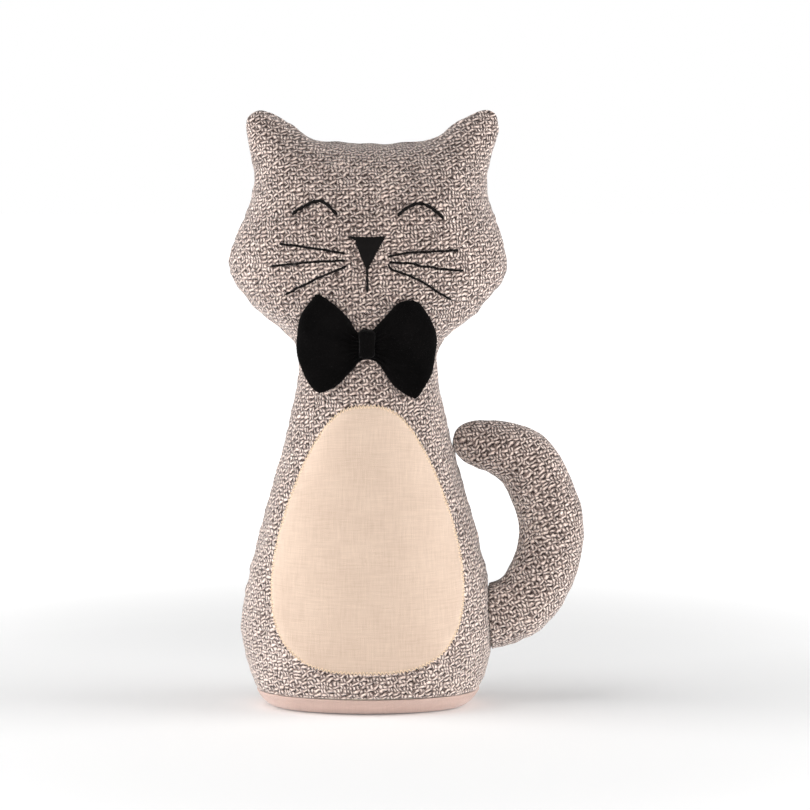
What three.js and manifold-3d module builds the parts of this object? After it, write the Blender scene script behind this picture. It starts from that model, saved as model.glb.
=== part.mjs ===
// A cat-shaped door stop: a stuffed cloth figure that a bag of sand holds down.
// Units are millimetres and +Z is up. The cat looks along -Y, and its tail is on its own left, at +X.
// The origin is the middle of the flat foot, on the floor.
import * as THREE from "three";
import { mergeVertices } from "three/addons/utils/BufferGeometryUtils.js";
import { RoundedBoxGeometry } from "three/addons/geometries/RoundedBoxGeometry.js";
import Module from "manifold-3d";

const wasm = await Module();
wasm.setup();

// Cloth and clearances
const clothThickness = 1.4;
const touchGap = 0.3;

// Edge of the figure from the base seam up to the crown: half widths and heights
const seamHalfWidth = 56;
const seamHeight = 8;
const hipHalfWidth = 64;
const hipHeight = 40;
const flankHalfWidth = 55.5;
const flankHeight = 84;
const chestHalfWidth = 42;
const chestHeight = 133;
const neckHalfWidth = 35;
const neckHeight = 177;
const jawHalfWidth = 55;
const jawHeight = 198;
const cheekHalfWidth = 69.6;
const cheekHeight = 221;
const templeHalfWidth = 58.3;
const templeHeight = 259;
const earSideHalfWidth = 63.4;
const earSideHeight = 289;
const earTipHalfWidth = 56.5;
const earTipHeight = 298;
const earSlopeHalfWidth = 41;
const earSlopeHeight = 290.5;
const earRootHalfWidth = 29;
const earRootHeight = 283.4;
const crownHeight = 281.5;

// Depth of the stuffed body, its rounded foot, the lean of the handmade ears and the sand in the bottom
const bodyDepth = 96;
const seamDepth = 86;
const footRounding = 8;
const earLean = 2.6;
const sandTop = 78;

// Belly patch, an egg with its broad end down, and the zigzag over its edge
const patchBottom = 22;
const patchHeight = 130.5;
const patchHalfWidth = 47.2;
const patchBluntness = 0.66;
const patchFullness = 0.36;
const patchThickness = 0.8;
const zigzagWidth = 2.6;
const zigzagThickness = 0.5;

// Embroidered face
const threadThickness = 0.7;
const eyeHeight = 246;
const eyeSpacing = 51;
const eyeWidth = 21.4;
const eyeRise = 6.5;
const eyeStroke = 1.5;
const noseTop = 234.4;
const noseWidth = 18.4;
const noseLength = 13.9;
const noseThickness = 1;
const noseHollow = 1.3;
const mouthLength = 13;
const mouthStroke = 1.3;
const whiskerStroke = 1;
const whiskerInset = 10.7;
const whiskerSlip = 1.5;
const upperWhiskerReach = 43.3;
const upperWhiskerStart = 226;
const upperWhiskerEnd = 229.2;
const middleWhiskerReach = 47;
const middleWhiskerStart = 222.7;
const middleWhiskerEnd = 219.2;
const lowerWhiskerReach = 40.8;
const lowerWhiskerStart = 219.6;
const lowerWhiskerEnd = 204.8;

// Tail, from its root on the hip to its tip against the flank
const tailWidth = 33;
const tailDepth = 27;
const tailRootHeight = 43;
const tailTipHeight = 133;
const tailReach = 92;
const tailTipWidth = 19;

// Bow tie
const bowHeight = 183;
const bowHalfSpan = 35;
const bowCornerOut = 25;
const bowCornerUp = 24.5;
const bowWaist = 13;
const bowThickness = 11;
const pleatDepth = 1.7;
const knotWidth = 7.6;
const knotHeight = 15.5;
const knotFront = 2.2;

// How finely the round shapes are cut
const edgePoints = 36;
const seamPoints = 12;
const ringCount = 5;
const footSteps = 2;
const relaxSweeps = 1500;
const eggPoints = 26;
const tailSections = 13;
const tipRings = 3;
const tailSides = 12;
const strokeSteps = 3;
const bowColumns = 8;
const bowRows = 12;

// Colours of the cloths and threads
const tweed = { color: 0x6b6560, roughness: 0.95 };
const linen = { color: 0xe9dfc9, roughness: 0.95 };
const basePink = { color: 0xc2a79d, roughness: 0.95 };
const velvet = { color: 0x101014, roughness: 0.85 };
const blackThread = { color: 0x17171a, roughness: 0.6 };
const creamThread = { color: 0xeee0b4, roughness: 0.6 };
const wadding = { color: 0xf2f1ee, roughness: 1 };
const sackCloth = { color: 0xd9cfba, roughness: 1 };

// A closed geometry as a solid that can be joined and cut.
function solid(geometry) {
  const bare = geometry.clone();
  bare.deleteAttribute("normal");
  bare.deleteAttribute("uv");
  const merged = mergeVertices(bare, 1e-4);
  const mesh = new wasm.Mesh({
    numProp: 3,
    vertProperties: new Float32Array(merged.attributes.position.array),
    triVerts: new Uint32Array(merged.index.array),
  });
  return new wasm.Manifold(mesh);
}

// A solid back as a geometry.
function geometryOf(manifold) {
  const mesh = manifold.getMesh();
  const geometry = new THREE.BufferGeometry();
  geometry.setAttribute("position", new THREE.BufferAttribute(mesh.vertProperties, mesh.numProp));
  geometry.setIndex(new THREE.BufferAttribute(mesh.triVerts, 1));
  return geometry;
}

// A geometry from a list of points and a list of triangles.
function geometryFrom(points, triangles) {
  const geometry = new THREE.BufferGeometry().setFromPoints(points);
  geometry.setIndex(triangles.flat());
  return mergeVertices(geometry, 1e-4);
}

// The same closed skin moved along its own normals: out where the distance is positive, else in.
function offsetSkin(geometry, distance) {
  const moved = geometry.clone();
  moved.computeVertexNormals();
  const position = moved.attributes.position;
  const normal = moved.attributes.normal;
  for (let i = 0; i < position.count; i += 1) {
    position.setXYZ(
      i,
      position.getX(i) + distance * normal.getX(i),
      position.getY(i) + distance * normal.getY(i),
      position.getZ(i) + distance * normal.getZ(i),
    );
  }
  return solid(moved);
}

// A box between two corners, larger than any part of the door stop unless a corner says otherwise.
const farAway = 2 * (crownHeight + tailReach);
function block({ front = -farAway, back = farAway, bottom = -farAway, top = farAway }) {
  const box = new THREE.BoxGeometry(2 * farAway, back - front, top - bottom);
  box.translate(0, (front + back) / 2, (bottom + top) / 2);
  return solid(box);
}

// How far the head leans sideways at a height.
function leanAt(height) {
  const share = (height - cheekHeight) / (earTipHeight - cheekHeight);
  return earLean * Math.max(0, share);
}

// The right-hand edge of the figure, from the base seam to the middle of the crown, in X and Z.
const edgeCurve = new THREE.SplineCurve([
  new THREE.Vector2(seamHalfWidth, seamHeight),
  new THREE.Vector2(hipHalfWidth, hipHeight),
  new THREE.Vector2(flankHalfWidth, flankHeight),
  new THREE.Vector2(chestHalfWidth, chestHeight),
  new THREE.Vector2(neckHalfWidth, neckHeight),
  new THREE.Vector2(jawHalfWidth, jawHeight),
  new THREE.Vector2(cheekHalfWidth, cheekHeight),
  new THREE.Vector2(templeHalfWidth, templeHeight),
  new THREE.Vector2(earSideHalfWidth, earSideHeight),
  new THREE.Vector2(earTipHalfWidth, earTipHeight),
  new THREE.Vector2(earSlopeHalfWidth, earSlopeHeight),
  new THREE.Vector2(earRootHalfWidth, earRootHeight),
  new THREE.Vector2(0, crownHeight),
]);

// Half the width of the figure at a height below the ears.
function halfWidthAt(height) {
  const points = edgeCurve.getPoints(10 * edgePoints);
  const above = points.findIndex((point) => point.y >= height);
  return points[above].x;
}

// The flat net of one side: points in X and Z, triangles, and which points lie on its sewn edge.
// Rays run from a spine on the middle line out to the edge, so that rings lie close together there.
function flatNet() {
  const spineBottom = (seamHeight + flankHeight) / 2;
  const spineTop = (cheekHeight + crownHeight) / 2;
  const rightEdge = edgeCurve.getPoints(edgePoints);
  const leftEdge = rightEdge.slice(0, -1).reverse().map((point) => new THREE.Vector2(-point.x, point.y));
  const seam = [];
  for (let i = 1; i < seamPoints; i += 1) {
    const angle = Math.PI * (i / seamPoints - 0.5);
    seam.push(new THREE.Vector2(seamHalfWidth * Math.sin(angle), seamHeight));
  }
  const loop = [...seam, ...rightEdge, ...leftEdge];
  const points = [];
  const found = new Map();
  function indexOf(x, z) {
    const key = `${x.toFixed(4)} ${z.toFixed(4)}`;
    if (!found.has(key)) {
      found.set(key, points.length);
      points.push(new THREE.Vector2(x, z));
    }
    return found.get(key);
  }
  const rings = [];
  for (let j = 0; j <= ringCount; j += 1) {
    const share = Math.sin((Math.PI / 2) * (j / ringCount));
    const ring = loop.map((point) => {
      const spine = Math.min(Math.max(point.y, spineBottom), spineTop);
      return indexOf(point.x * share, spine + (point.y - spine) * share);
    });
    rings.push(ring);
  }
  const triangles = [];
  function addTriangle(a, b, c) {
    if (a !== b && b !== c && c !== a) triangles.push([a, b, c]);
  }
  for (let j = 0; j < ringCount; j += 1) {
    for (let k = 0; k < loop.length; k += 1) {
      const next = (k + 1) % loop.length;
      addTriangle(rings[j][k], rings[j + 1][k], rings[j + 1][next]);
      addTriangle(rings[j][k], rings[j + 1][next], rings[j][next]);
    }
  }
  const outer = rings[ringCount];
  const sewn = new Set(outer.slice(seam.length));
  const bottom = [outer.at(-1), ...outer.slice(0, seam.length + 1)];
  return { points, triangles, sewn, bottom };
}

// How far stuffing lifts each point of the net, from 0 on the sewn edge to 1 where it is fullest.
// It is the square root of an evenly loaded membrane, which makes each cross-section an ellipse.
function stuffedLift({ points, triangles, sewn }) {
  const weights = points.map(() => new Map());
  const load = points.map(() => 0);
  for (const corners of triangles) {
    for (let i = 0; i < 3; i += 1) {
      const a = corners[i];
      const b = corners[(i + 1) % 3];
      const apex = corners[(i + 2) % 3];
      const toA = points[a].clone().sub(points[apex]);
      const toB = points[b].clone().sub(points[apex]);
      const doubleArea = Math.abs(toA.cross(toB));
      const cotangent = toA.dot(toB) / doubleArea / 2;
      weights[a].set(b, (weights[a].get(b) ?? 0) + cotangent);
      weights[b].set(a, (weights[b].get(a) ?? 0) + cotangent);
      load[apex] += doubleArea / 6;
    }
  }
  const height = points.map(() => 0);
  for (let sweep = 0; sweep < relaxSweeps; sweep += 1) {
    for (let i = 0; i < points.length; i += 1) {
      if (sewn.has(i)) continue;
      let pull = load[i];
      let total = 0;
      for (const [j, weight] of weights[i]) {
        pull += weight * height[j];
        total += weight;
      }
      height[i] = pull / total;
    }
  }
  const fullest = Math.max(...height);
  return height.map((value) => Math.sqrt(Math.max(0, value) / fullest));
}

// The closed skin of the figure: a stuffed front and back, and a dished foot below the base seam.
function figureSkin() {
  const net = flatNet();
  const lift = stuffedLift(net);
  const seamLift = Math.max(...net.bottom.map((i) => lift[i]));
  const points = [];
  const triangles = [];
  function onSide(side) {
    return net.points.map((point, i) => {
      const raised = THREE.MathUtils.smoothstep(point.y, seamHeight, hipHeight);
      const depth = THREE.MathUtils.lerp(seamDepth / seamLift, bodyDepth, raised) / 2;
      return new THREE.Vector3(point.x + leanAt(point.y), side * depth * lift[i], point.y);
    });
  }
  const front = onSide(-1);
  const back = onSide(1);
  points.push(...front, ...back);
  for (const [a, b, c] of net.triangles) {
    triangles.push([a, b, c]);
    triangles.push([c + front.length, b + front.length, a + front.length]);
  }
  const seamFront = net.bottom.map((i) => front[i]);
  const seamBack = net.bottom.slice(1, -1).reverse().map((i) => back[i]);
  const seam = [...seamFront, ...seamBack];
  const inward = seam.map((point, i) => {
    const before = seam.at(i - 1);
    const after = seam[(i + 1) % seam.length];
    return new THREE.Vector3(before.y - after.y, after.x - before.x, 0).normalize();
  });
  const firstFoot = points.length;
  for (let step = 0; step <= footSteps; step += 1) {
    const angle = (Math.PI / 2) * (step / footSteps);
    seam.forEach((point, i) => {
      const rim = point.clone().addScaledVector(inward[i], footRounding * (1 - Math.cos(angle)));
      rim.z = seamHeight * (1 - Math.sin(angle));
      points.push(rim);
    });
  }
  const middle = points.length;
  points.push(new THREE.Vector3(0, 0, 0));
  for (let i = 0; i < seam.length; i += 1) {
    const next = (i + 1) % seam.length;
    for (let step = 0; step < footSteps; step += 1) {
      const upper = firstFoot + step * seam.length;
      const lower = upper + seam.length;
      triangles.push([upper + i, lower + i, lower + next]);
      triangles.push([upper + i, lower + next, upper + next]);
    }
    const last = firstFoot + footSteps * seam.length;
    triangles.push([middle, last + next, last + i]);
  }
  return geometryFrom(points, triangles);
}

const skin = figureSkin();
const figure = (distance) => offsetSkin(skin, distance);

// The egg of the belly patch, grown or shrunk by a margin all round.
function eggShape(margin) {
  const middle = patchBottom + patchHeight / 2;
  const outline = [];
  for (let i = 0; i < eggPoints; i += 1) {
    const angle = (2 * Math.PI * i) / eggPoints;
    const round = Math.sign(Math.sin(angle)) * Math.abs(Math.sin(angle)) ** patchBluntness;
    outline.push({ across: round * (1 + patchFullness * Math.cos(angle)), down: Math.cos(angle) });
  }
  const widest = Math.max(...outline.map((point) => point.across));
  const width = (patchHalfWidth + margin) / widest;
  const height = patchHeight / 2 + margin;
  return new THREE.Shape(
    outline.map(({ across, down }) => new THREE.Vector2(width * across, middle - height * down)),
  );
}

// A line of thread seen from the front, with round ends.
function strokeShape(points, width) {
  const line = new THREE.SplineCurve(points).getPoints(strokeSteps * (points.length - 1));
  const left = [];
  const right = [];
  line.forEach((point, i) => {
    const before = line[Math.max(0, i - 1)];
    const after = line[Math.min(line.length - 1, i + 1)];
    const along = after.clone().sub(before).setLength(width / 2);
    left.push(new THREE.Vector2(point.x - along.y, point.y + along.x));
    right.push(new THREE.Vector2(point.x + along.y, point.y - along.x));
  });
  const start = line[0].clone().sub(line[1]).setLength(width / 2).add(line[0]);
  const end = line.at(-1).clone().sub(line.at(-2)).setLength(width / 2).add(line.at(-1));
  return new THREE.Shape([start, ...right, end, ...left.reverse()]);
}

// A flat shape laid on the front of the figure, from one height above its cloth to another.
function layOn(shape, low, high) {
  const column = new THREE.ExtrudeGeometry(shape, { depth: bodyDepth, bevelEnabled: false, curveSegments: 6 });
  column.rotateX(Math.PI / 2);
  return solid(column).intersect(figure(high)).subtract(figure(low));
}

// Front and back cloths and the foot, cut from one hollow skin along the seams.
function clothShell() {
  return figure(0).subtract(figure(-clothThickness));
}

function frontPanel() {
  return clothShell().intersect(block({ back: -touchGap / 2, bottom: seamHeight + touchGap / 2 }));
}

function backPanel() {
  return clothShell().intersect(block({ front: touchGap / 2, bottom: seamHeight + touchGap / 2 }));
}

function basePanel() {
  return clothShell().intersect(block({ top: seamHeight - touchGap / 2 }));
}

// What fills the cloth: a bag of sand in the bottom, and fibre above it.
function weightBag() {
  return figure(-clothThickness - touchGap).intersect(block({ top: sandTop - touchGap / 2 }));
}

function fibreFilling() {
  return figure(-clothThickness - touchGap).intersect(block({ bottom: sandTop + touchGap / 2 }));
}

// The patch lies on the tweed, and the zigzag lies on the edge of both.
function bellyPatch() {
  return layOn(eggShape(0), touchGap, touchGap + patchThickness);
}

function bellyStitching() {
  const low = patchThickness + 2 * touchGap;
  const band = layOn(eggShape(zigzagWidth / 3), low, low + zigzagThickness);
  return band.subtract(layOn(eggShape(-zigzagWidth * (2 / 3)), 0, low + 2 * zigzagThickness));
}

// One stroke of the embroidered face.
function stitchedLine(points, width) {
  return layOn(strokeShape(points, width), touchGap, touchGap + threadThickness);
}

// A closed, smiling eye: an arch of thread. Side is -1 for the left one in front view, else 1.
function eye(side) {
  const middle = (side * eyeSpacing) / 2 + leanAt(eyeHeight);
  const arch = [-1, -0.6, 0, 0.6, 1].map((share) => {
    const height = eyeHeight + eyeRise * (1 - share * share);
    return new THREE.Vector2(middle + (share * eyeWidth) / 2, height);
  });
  return stitchedLine(arch, eyeStroke);
}

// The nose, a triangle with its point down and slightly hollow sides.
function nose() {
  const shape = new THREE.Shape();
  shape.moveTo(-noseWidth / 2, noseTop);
  shape.quadraticCurveTo(-noseWidth / 4 + noseHollow, noseTop - noseLength / 2, 0, noseTop - noseLength);
  shape.quadraticCurveTo(noseWidth / 4, noseTop - noseLength / 2, noseWidth / 2, noseTop);
  shape.quadraticCurveTo(0, noseTop - noseHollow / 3, -noseWidth / 2, noseTop);
  return layOn(shape, touchGap, touchGap + noseThickness);
}

// The mouth, a straight line of thread down from the point of the nose.
function mouth() {
  const top = noseTop - noseLength - touchGap - mouthStroke / 2;
  const bottom = noseTop - noseLength - mouthLength;
  return stitchedLine([new THREE.Vector2(0, top), new THREE.Vector2(0, bottom)], mouthStroke);
}

// A whisker from beside the nose out over the cheek. The hand that sewed them set the right ones lower.
function whisker(side, reach, start, end) {
  const slip = (-side * whiskerSlip) / 2;
  const middle = (start + end) / 2 + (start - end) / 9;
  return stitchedLine(
    [
      new THREE.Vector2(side * whiskerInset, start + slip / 2),
      new THREE.Vector2((side * (whiskerInset + reach)) / 2, middle + slip),
      new THREE.Vector2(side * reach, end + 2 * slip),
    ],
    whiskerStroke,
  );
}

// A closed skin through rings of points that close on themselves, with a point at either end.
function ringSkin(firstPoint, rings, lastPoint) {
  const sides = rings[0].length;
  const points = [firstPoint, ...rings.flat(), lastPoint];
  const last = points.length - 1;
  const at = (ring, side) => 1 + ring * sides + (side % sides);
  const triangles = [];
  for (let side = 0; side < sides; side += 1) {
    triangles.push([0, at(0, side + 1), at(0, side)]);
    triangles.push([last, at(rings.length - 1, side), at(rings.length - 1, side + 1)]);
    for (let ring = 0; ring < rings.length - 1; ring += 1) {
      triangles.push([at(ring, side), at(ring, side + 1), at(ring + 1, side + 1)]);
      triangles.push([at(ring, side), at(ring + 1, side + 1), at(ring + 1, side)]);
    }
  }
  return geometryFrom(points, triangles);
}

// The middle line of the tail in X and Z: out of the hip, up, and back to the flank.
function tailLine() {
  const root = halfWidthAt(tailRootHeight);
  const tip = halfWidthAt(tailTipHeight) + touchGap;
  const out = tailReach - root;
  const up = tailTipHeight - tailRootHeight;
  return new THREE.SplineCurve([
    new THREE.Vector2(root - 2 * clothThickness - tailWidth / 2, tailRootHeight - 2),
    new THREE.Vector2(root + 0.3 * out, tailRootHeight + 0.05 * up),
    new THREE.Vector2(root + 0.78 * out, tailRootHeight + 0.22 * up),
    new THREE.Vector2(tailReach, tailRootHeight + 0.5 * up),
    new THREE.Vector2(root + 0.68 * out, tailRootHeight + 0.8 * up),
    new THREE.Vector2(root + 0.25 * out, tailRootHeight + 0.92 * up),
    new THREE.Vector2(tip + 0.5 * tailTipWidth, tailTipHeight - 0.02 * up),
    new THREE.Vector2(tip, tailTipHeight),
  ]);
}

// The closed skin of the tail: oval sections along its middle line, tapering to a round tip.
function tailSkin() {
  const line = tailLine();
  const roundFrom = 1 - tailTipWidth / 2 / line.getLength();
  const taperFrom = 0.62;
  const shares = [];
  for (let i = 0; i < tailSections; i += 1) shares.push((roundFrom * i) / tailSections);
  for (let i = 0; i < tipRings; i += 1) {
    shares.push(roundFrom + (1 - roundFrom) * Math.sin((Math.PI / 2) * (i / tipRings)));
  }
  const rings = [];
  for (const share of shares) {
    const past = Math.max(0, (share - taperFrom) / (1 - taperFrom));
    const taper = 1 - (1 - tailTipWidth / tailWidth) * past * past;
    const rounding = Math.max(0, (share - roundFrom) / (1 - roundFrom));
    const scale = taper * Math.sqrt(1 - rounding * rounding);
    const middle = line.getPointAt(share);
    const along = line.getTangentAt(share);
    const ring = [];
    for (let side = 0; side < tailSides; side += 1) {
      const angle = (2 * Math.PI * side) / tailSides;
      const across = (tailWidth / 2) * scale * Math.cos(angle);
      const depth = (tailDepth / 2) * scale * Math.sin(angle);
      ring.push(new THREE.Vector3(middle.x + along.y * across, depth, middle.y - along.x * across));
    }
    rings.push(ring);
  }
  const first = line.getPointAt(0);
  const last = line.getPointAt(1);
  return ringSkin(new THREE.Vector3(first.x, 0, first.y), rings, new THREE.Vector3(last.x, 0, last.y));
}

const tailOutside = tailSkin();
const tail = (distance) => offsetSkin(tailOutside, distance);

function tailCloth() {
  return tail(0).subtract(tail(-clothThickness)).subtract(figure(touchGap));
}

function tailFrontPanel() {
  return tailCloth().intersect(block({ back: -touchGap / 2 }));
}

function tailBackPanel() {
  return tailCloth().intersect(block({ front: touchGap / 2 }));
}

function tailFilling() {
  return tail(-clothThickness - touchGap).subtract(figure(touchGap));
}

// Where the front of the figure lies at a place seen from the front.
function frontAt(x, z) {
  const target = new THREE.Mesh(skin);
  const ray = new THREE.Raycaster(new THREE.Vector3(x, -farAway, z), new THREE.Vector3(0, 1, 0));
  return ray.intersectObject(target)[0].point.y;
}

// The bow's loop as it comes, upright about the origin: two wings that widen from a narrow waist.
// Each wing is a folded strip, rounded at its outer fold, with pleats that run out from the knot.
function bowSkin() {
  const points = [];
  const triangles = [];
  const squash = 0.6;
  const columns = 2 * bowColumns;
  for (const side of [-1, 1]) {
    for (let column = 0; column <= columns; column += 1) {
      const turn = (Math.PI / 2) * (column / bowColumns - 1);
      const out = Math.sin(turn);
      const far = Math.abs(out);
      for (let row = 0; row <= bowRows; row += 1) {
        const up = Math.sin((Math.PI / 2) * ((2 * row) / bowRows - 1));
        const reach = bowCornerOut + (bowHalfSpan - bowCornerOut) * (1 - up * up);
        const rise = THREE.MathUtils.lerp(bowWaist / 2, bowCornerUp, far) * up;
        const rim = Math.sqrt(Math.max(0, (1 - far ** 8) * (1 - up ** 6)));
        const half = (bowThickness / 2) * THREE.MathUtils.lerp(squash, 1, far);
        const pleat = side < 0 ? pleatDepth * Math.cos(3 * Math.PI * up) * Math.sqrt(far) : 0;
        points.push(new THREE.Vector3(out * reach, side * rim * (half + pleat), rise));
      }
    }
  }
  const sheet = points.length / 2;
  for (let column = 0; column < columns; column += 1) {
    for (let row = 0; row < bowRows; row += 1) {
      const a = column * (bowRows + 1) + row;
      const b = a + bowRows + 1;
      triangles.push([a, b, b + 1], [a, b + 1, a + 1]);
      triangles.push([sheet + b + 1, sheet + b, sheet + a], [sheet + a + 1, sheet + b + 1, sheet + a]);
    }
  }
  return geometryFrom(points, triangles);
}

// The bow leans as the chest and the chin do, and rests on them.
const chestFront = frontAt(bowCornerOut, bowHeight - bowCornerUp);
const chinFront = frontAt(bowCornerOut, bowHeight + bowCornerUp);
const bowLean = Math.atan2(chestFront - chinFront, 2 * bowCornerUp);
const bowMiddle = (chestFront + chinFront) / 2 - bowThickness / 2;

function seatBow(geometry) {
  geometry.rotateX(bowLean);
  geometry.translate(0, bowMiddle, bowHeight);
  return geometry;
}

const bowOutside = seatBow(bowSkin());

function bowLoop() {
  return offsetSkin(bowOutside, 0).subtract(figure(touchGap));
}

// The knot is a band round the waist of the loop, sewn to the neck behind it.
function bowKnot() {
  const back = -frontAt(0, bowHeight) + bowMiddle;
  const depth = bowThickness / 2 + knotFront - back;
  const box = new RoundedBoxGeometry(knotWidth, depth, knotHeight, 2, knotWidth / 3);
  box.translate(0, -(depth / 2 + back), 0);
  return solid(seatBow(box)).subtract(offsetSkin(bowOutside, touchGap)).subtract(figure(touchGap));
}

// Every piece, by name
const group = new THREE.Group();

function add(name, manifold, look) {
  const material = new THREE.MeshStandardMaterial({ ...look, metalness: 0 });
  const mesh = new THREE.Mesh(geometryOf(manifold), material);
  mesh.name = name;
  group.add(mesh);
}

add("front_panel", frontPanel(), tweed);
add("back_panel", backPanel(), tweed);
add("base_panel", basePanel(), basePink);
add("fibre_filling", fibreFilling(), wadding);
add("weight_bag", weightBag(), sackCloth);
add("belly_patch", bellyPatch(), linen);
add("belly_stitching", bellyStitching(), creamThread);
add("nose", nose(), blackThread);
add("mouth", mouth(), blackThread);
for (const [name, side] of [["left", -1], ["right", 1]]) {
  add(`${name}_eye`, eye(side), blackThread);
  const rows = [
    ["upper", upperWhiskerReach, upperWhiskerStart, upperWhiskerEnd],
    ["middle", middleWhiskerReach, middleWhiskerStart, middleWhiskerEnd],
    ["lower", lowerWhiskerReach, lowerWhiskerStart, lowerWhiskerEnd],
  ];
  for (const [row, reach, start, end] of rows) {
    add(`${name}_whisker_${row}`, whisker(side, reach, start, end), blackThread);
  }
}
add("bow_loop", bowLoop(), velvet);
add("bow_knot", bowKnot(), velvet);
add("tail_front_panel", tailFrontPanel(), tweed);
add("tail_back_panel", tailBackPanel(), tweed);
add("tail_filling", tailFilling(), wadding);

export default group;
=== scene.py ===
"""A cat door stop: tweed sewn over fibre and sand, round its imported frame. Metres, +Z up, face at -Y."""
import logging
import math
from dataclasses import dataclass, field
from enum import Enum
from typing import Callable, ClassVar, Sequence

import bmesh
import bpy
import numpy as np
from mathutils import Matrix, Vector
from mathutils.bvhtree import BVHTree
from mathutils.kdtree import KDTree


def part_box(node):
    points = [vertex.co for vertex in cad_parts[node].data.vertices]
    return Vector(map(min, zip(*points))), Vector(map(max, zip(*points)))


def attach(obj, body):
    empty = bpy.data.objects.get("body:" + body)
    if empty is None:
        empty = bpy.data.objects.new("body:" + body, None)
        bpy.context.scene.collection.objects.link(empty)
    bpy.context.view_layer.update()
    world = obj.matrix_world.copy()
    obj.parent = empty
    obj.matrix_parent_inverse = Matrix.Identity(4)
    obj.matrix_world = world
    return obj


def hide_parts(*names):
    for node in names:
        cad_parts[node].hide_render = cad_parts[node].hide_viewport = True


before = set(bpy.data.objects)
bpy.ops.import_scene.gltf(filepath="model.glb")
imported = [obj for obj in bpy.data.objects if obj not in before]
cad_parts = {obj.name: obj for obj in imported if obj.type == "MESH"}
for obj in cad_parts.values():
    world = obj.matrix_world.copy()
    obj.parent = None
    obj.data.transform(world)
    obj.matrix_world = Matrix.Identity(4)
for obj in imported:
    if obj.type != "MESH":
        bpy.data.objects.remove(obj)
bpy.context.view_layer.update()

LOG = logging.getLogger("door_stop")
MM = 0.001
TURN = 2 * math.pi
CLOTH_MAP = "cloth"
Array = np.ndarray
Colour = tuple[float, float, float]
Stations = tuple[tuple[float, float], ...]
Corners = tuple[int, ...]


def srgb(red: int, green: int, blue: int) -> Colour:
    """A display colour, 0 to 255 a channel, as the linear colour that a shader takes."""
    share = np.array([red, green, blue]) / 255
    linear = np.where(share <= 0.04045, share / 12.92, ((share + 0.055) / 1.055) ** 2.4)
    return tuple(float(value) for value in linear)


def unit(rows: Array) -> Array:
    """Each row of a table at length 1."""
    return rows / np.maximum(np.linalg.norm(rows, axis=1, keepdims=True), 1e-12)


def bell(far: Array, reach: float, middle: float = 0.0) -> Array:
    """1 at the middle, falling off on both sides within the reach."""
    return np.exp(-(((far - middle) / reach) ** 2))


def turned(first: Array, second: Array, angle: float) -> tuple[Array, Array]:
    """Two coordinates of many points, turned from the first axis towards the second."""
    cos, sin = math.cos(angle), math.sin(angle)
    return first * cos - second * sin, first * sin + second * cos


def read_at(at: Array, known: Array, table: Array) -> Array:
    """A table's two columns at other places than the ones where its rows are known."""
    return np.column_stack([np.interp(at, known, table[:, axis]) for axis in (0, 1)])


def lengths(line: Array) -> Array:
    """How far along a line each of its points lies."""
    return np.concatenate([[0], np.cumsum(np.linalg.norm(np.diff(line, axis=0), axis=1))])


def evenly(line: Array, count: int) -> Array:
    """So many evenly spaced points of a line, with both its ends."""
    gone = lengths(line)
    return read_at(np.linspace(0, gone[-1], count), gone, line)


def smooth(padded: Array, steps: int) -> Array:
    """A smooth line through knots, with so many steps from each to the next.

    Args:
        padded: the knots, with one more before and after them that only bends the ends.
        steps: points for each span.

    Returns:
        The line's points.
    """
    line = []
    for before, first, second, after in zip(padded, padded[1:], padded[2:], padded[3:]):
        out, back = (second - before) / 2, (after - first) / 2
        for share in np.arange(steps) / steps:
            cubic = (2 * first - 2 * second + out + back) * share**3
            square = (-3 * first + 3 * second - 2 * out - back) * share**2
            line.append(cubic + square + out * share + first)
    return np.array([*line, padded[-2]])


def quads(table: Array, closed: bool = False) -> list[Corners]:
    """The faces between the neighbouring rows of a table of point numbers.

    Args:
        table: point numbers, where one number may stand several times, as at a pole.
        closed: whether each row runs round to its start.

    Returns:
        The faces, without the corners that fall together.
    """
    after = np.roll(table, -1, axis=1)
    faces = []
    for row in range(len(table) - 1):
        for spot in range(table.shape[1] - (not closed)):
            corners = (table[row, spot], table[row + 1, spot], after[row + 1, spot], after[row, spot])
            face = tuple(dict.fromkeys(int(corner) for corner in corners))
            if len(face) > 2:
                faces.append(face)
    return faces


def put(name: str, data: bpy.types.ID) -> bpy.types.Object:
    """Puts an object with its data into the scene."""
    made = bpy.data.objects.new(name, data)
    bpy.context.scene.collection.objects.link(made)
    return made


def math_node(operation: str) -> Callable[..., "Wire"]:
    """A method for a Wire, which adds one Math node with as many inputs as it is given."""

    def method(self: "Wire", *others: "Wire | float") -> "Wire":
        return self.graph.wire("ShaderNodeMath", [self, *others], operation=operation)

    return method


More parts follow.
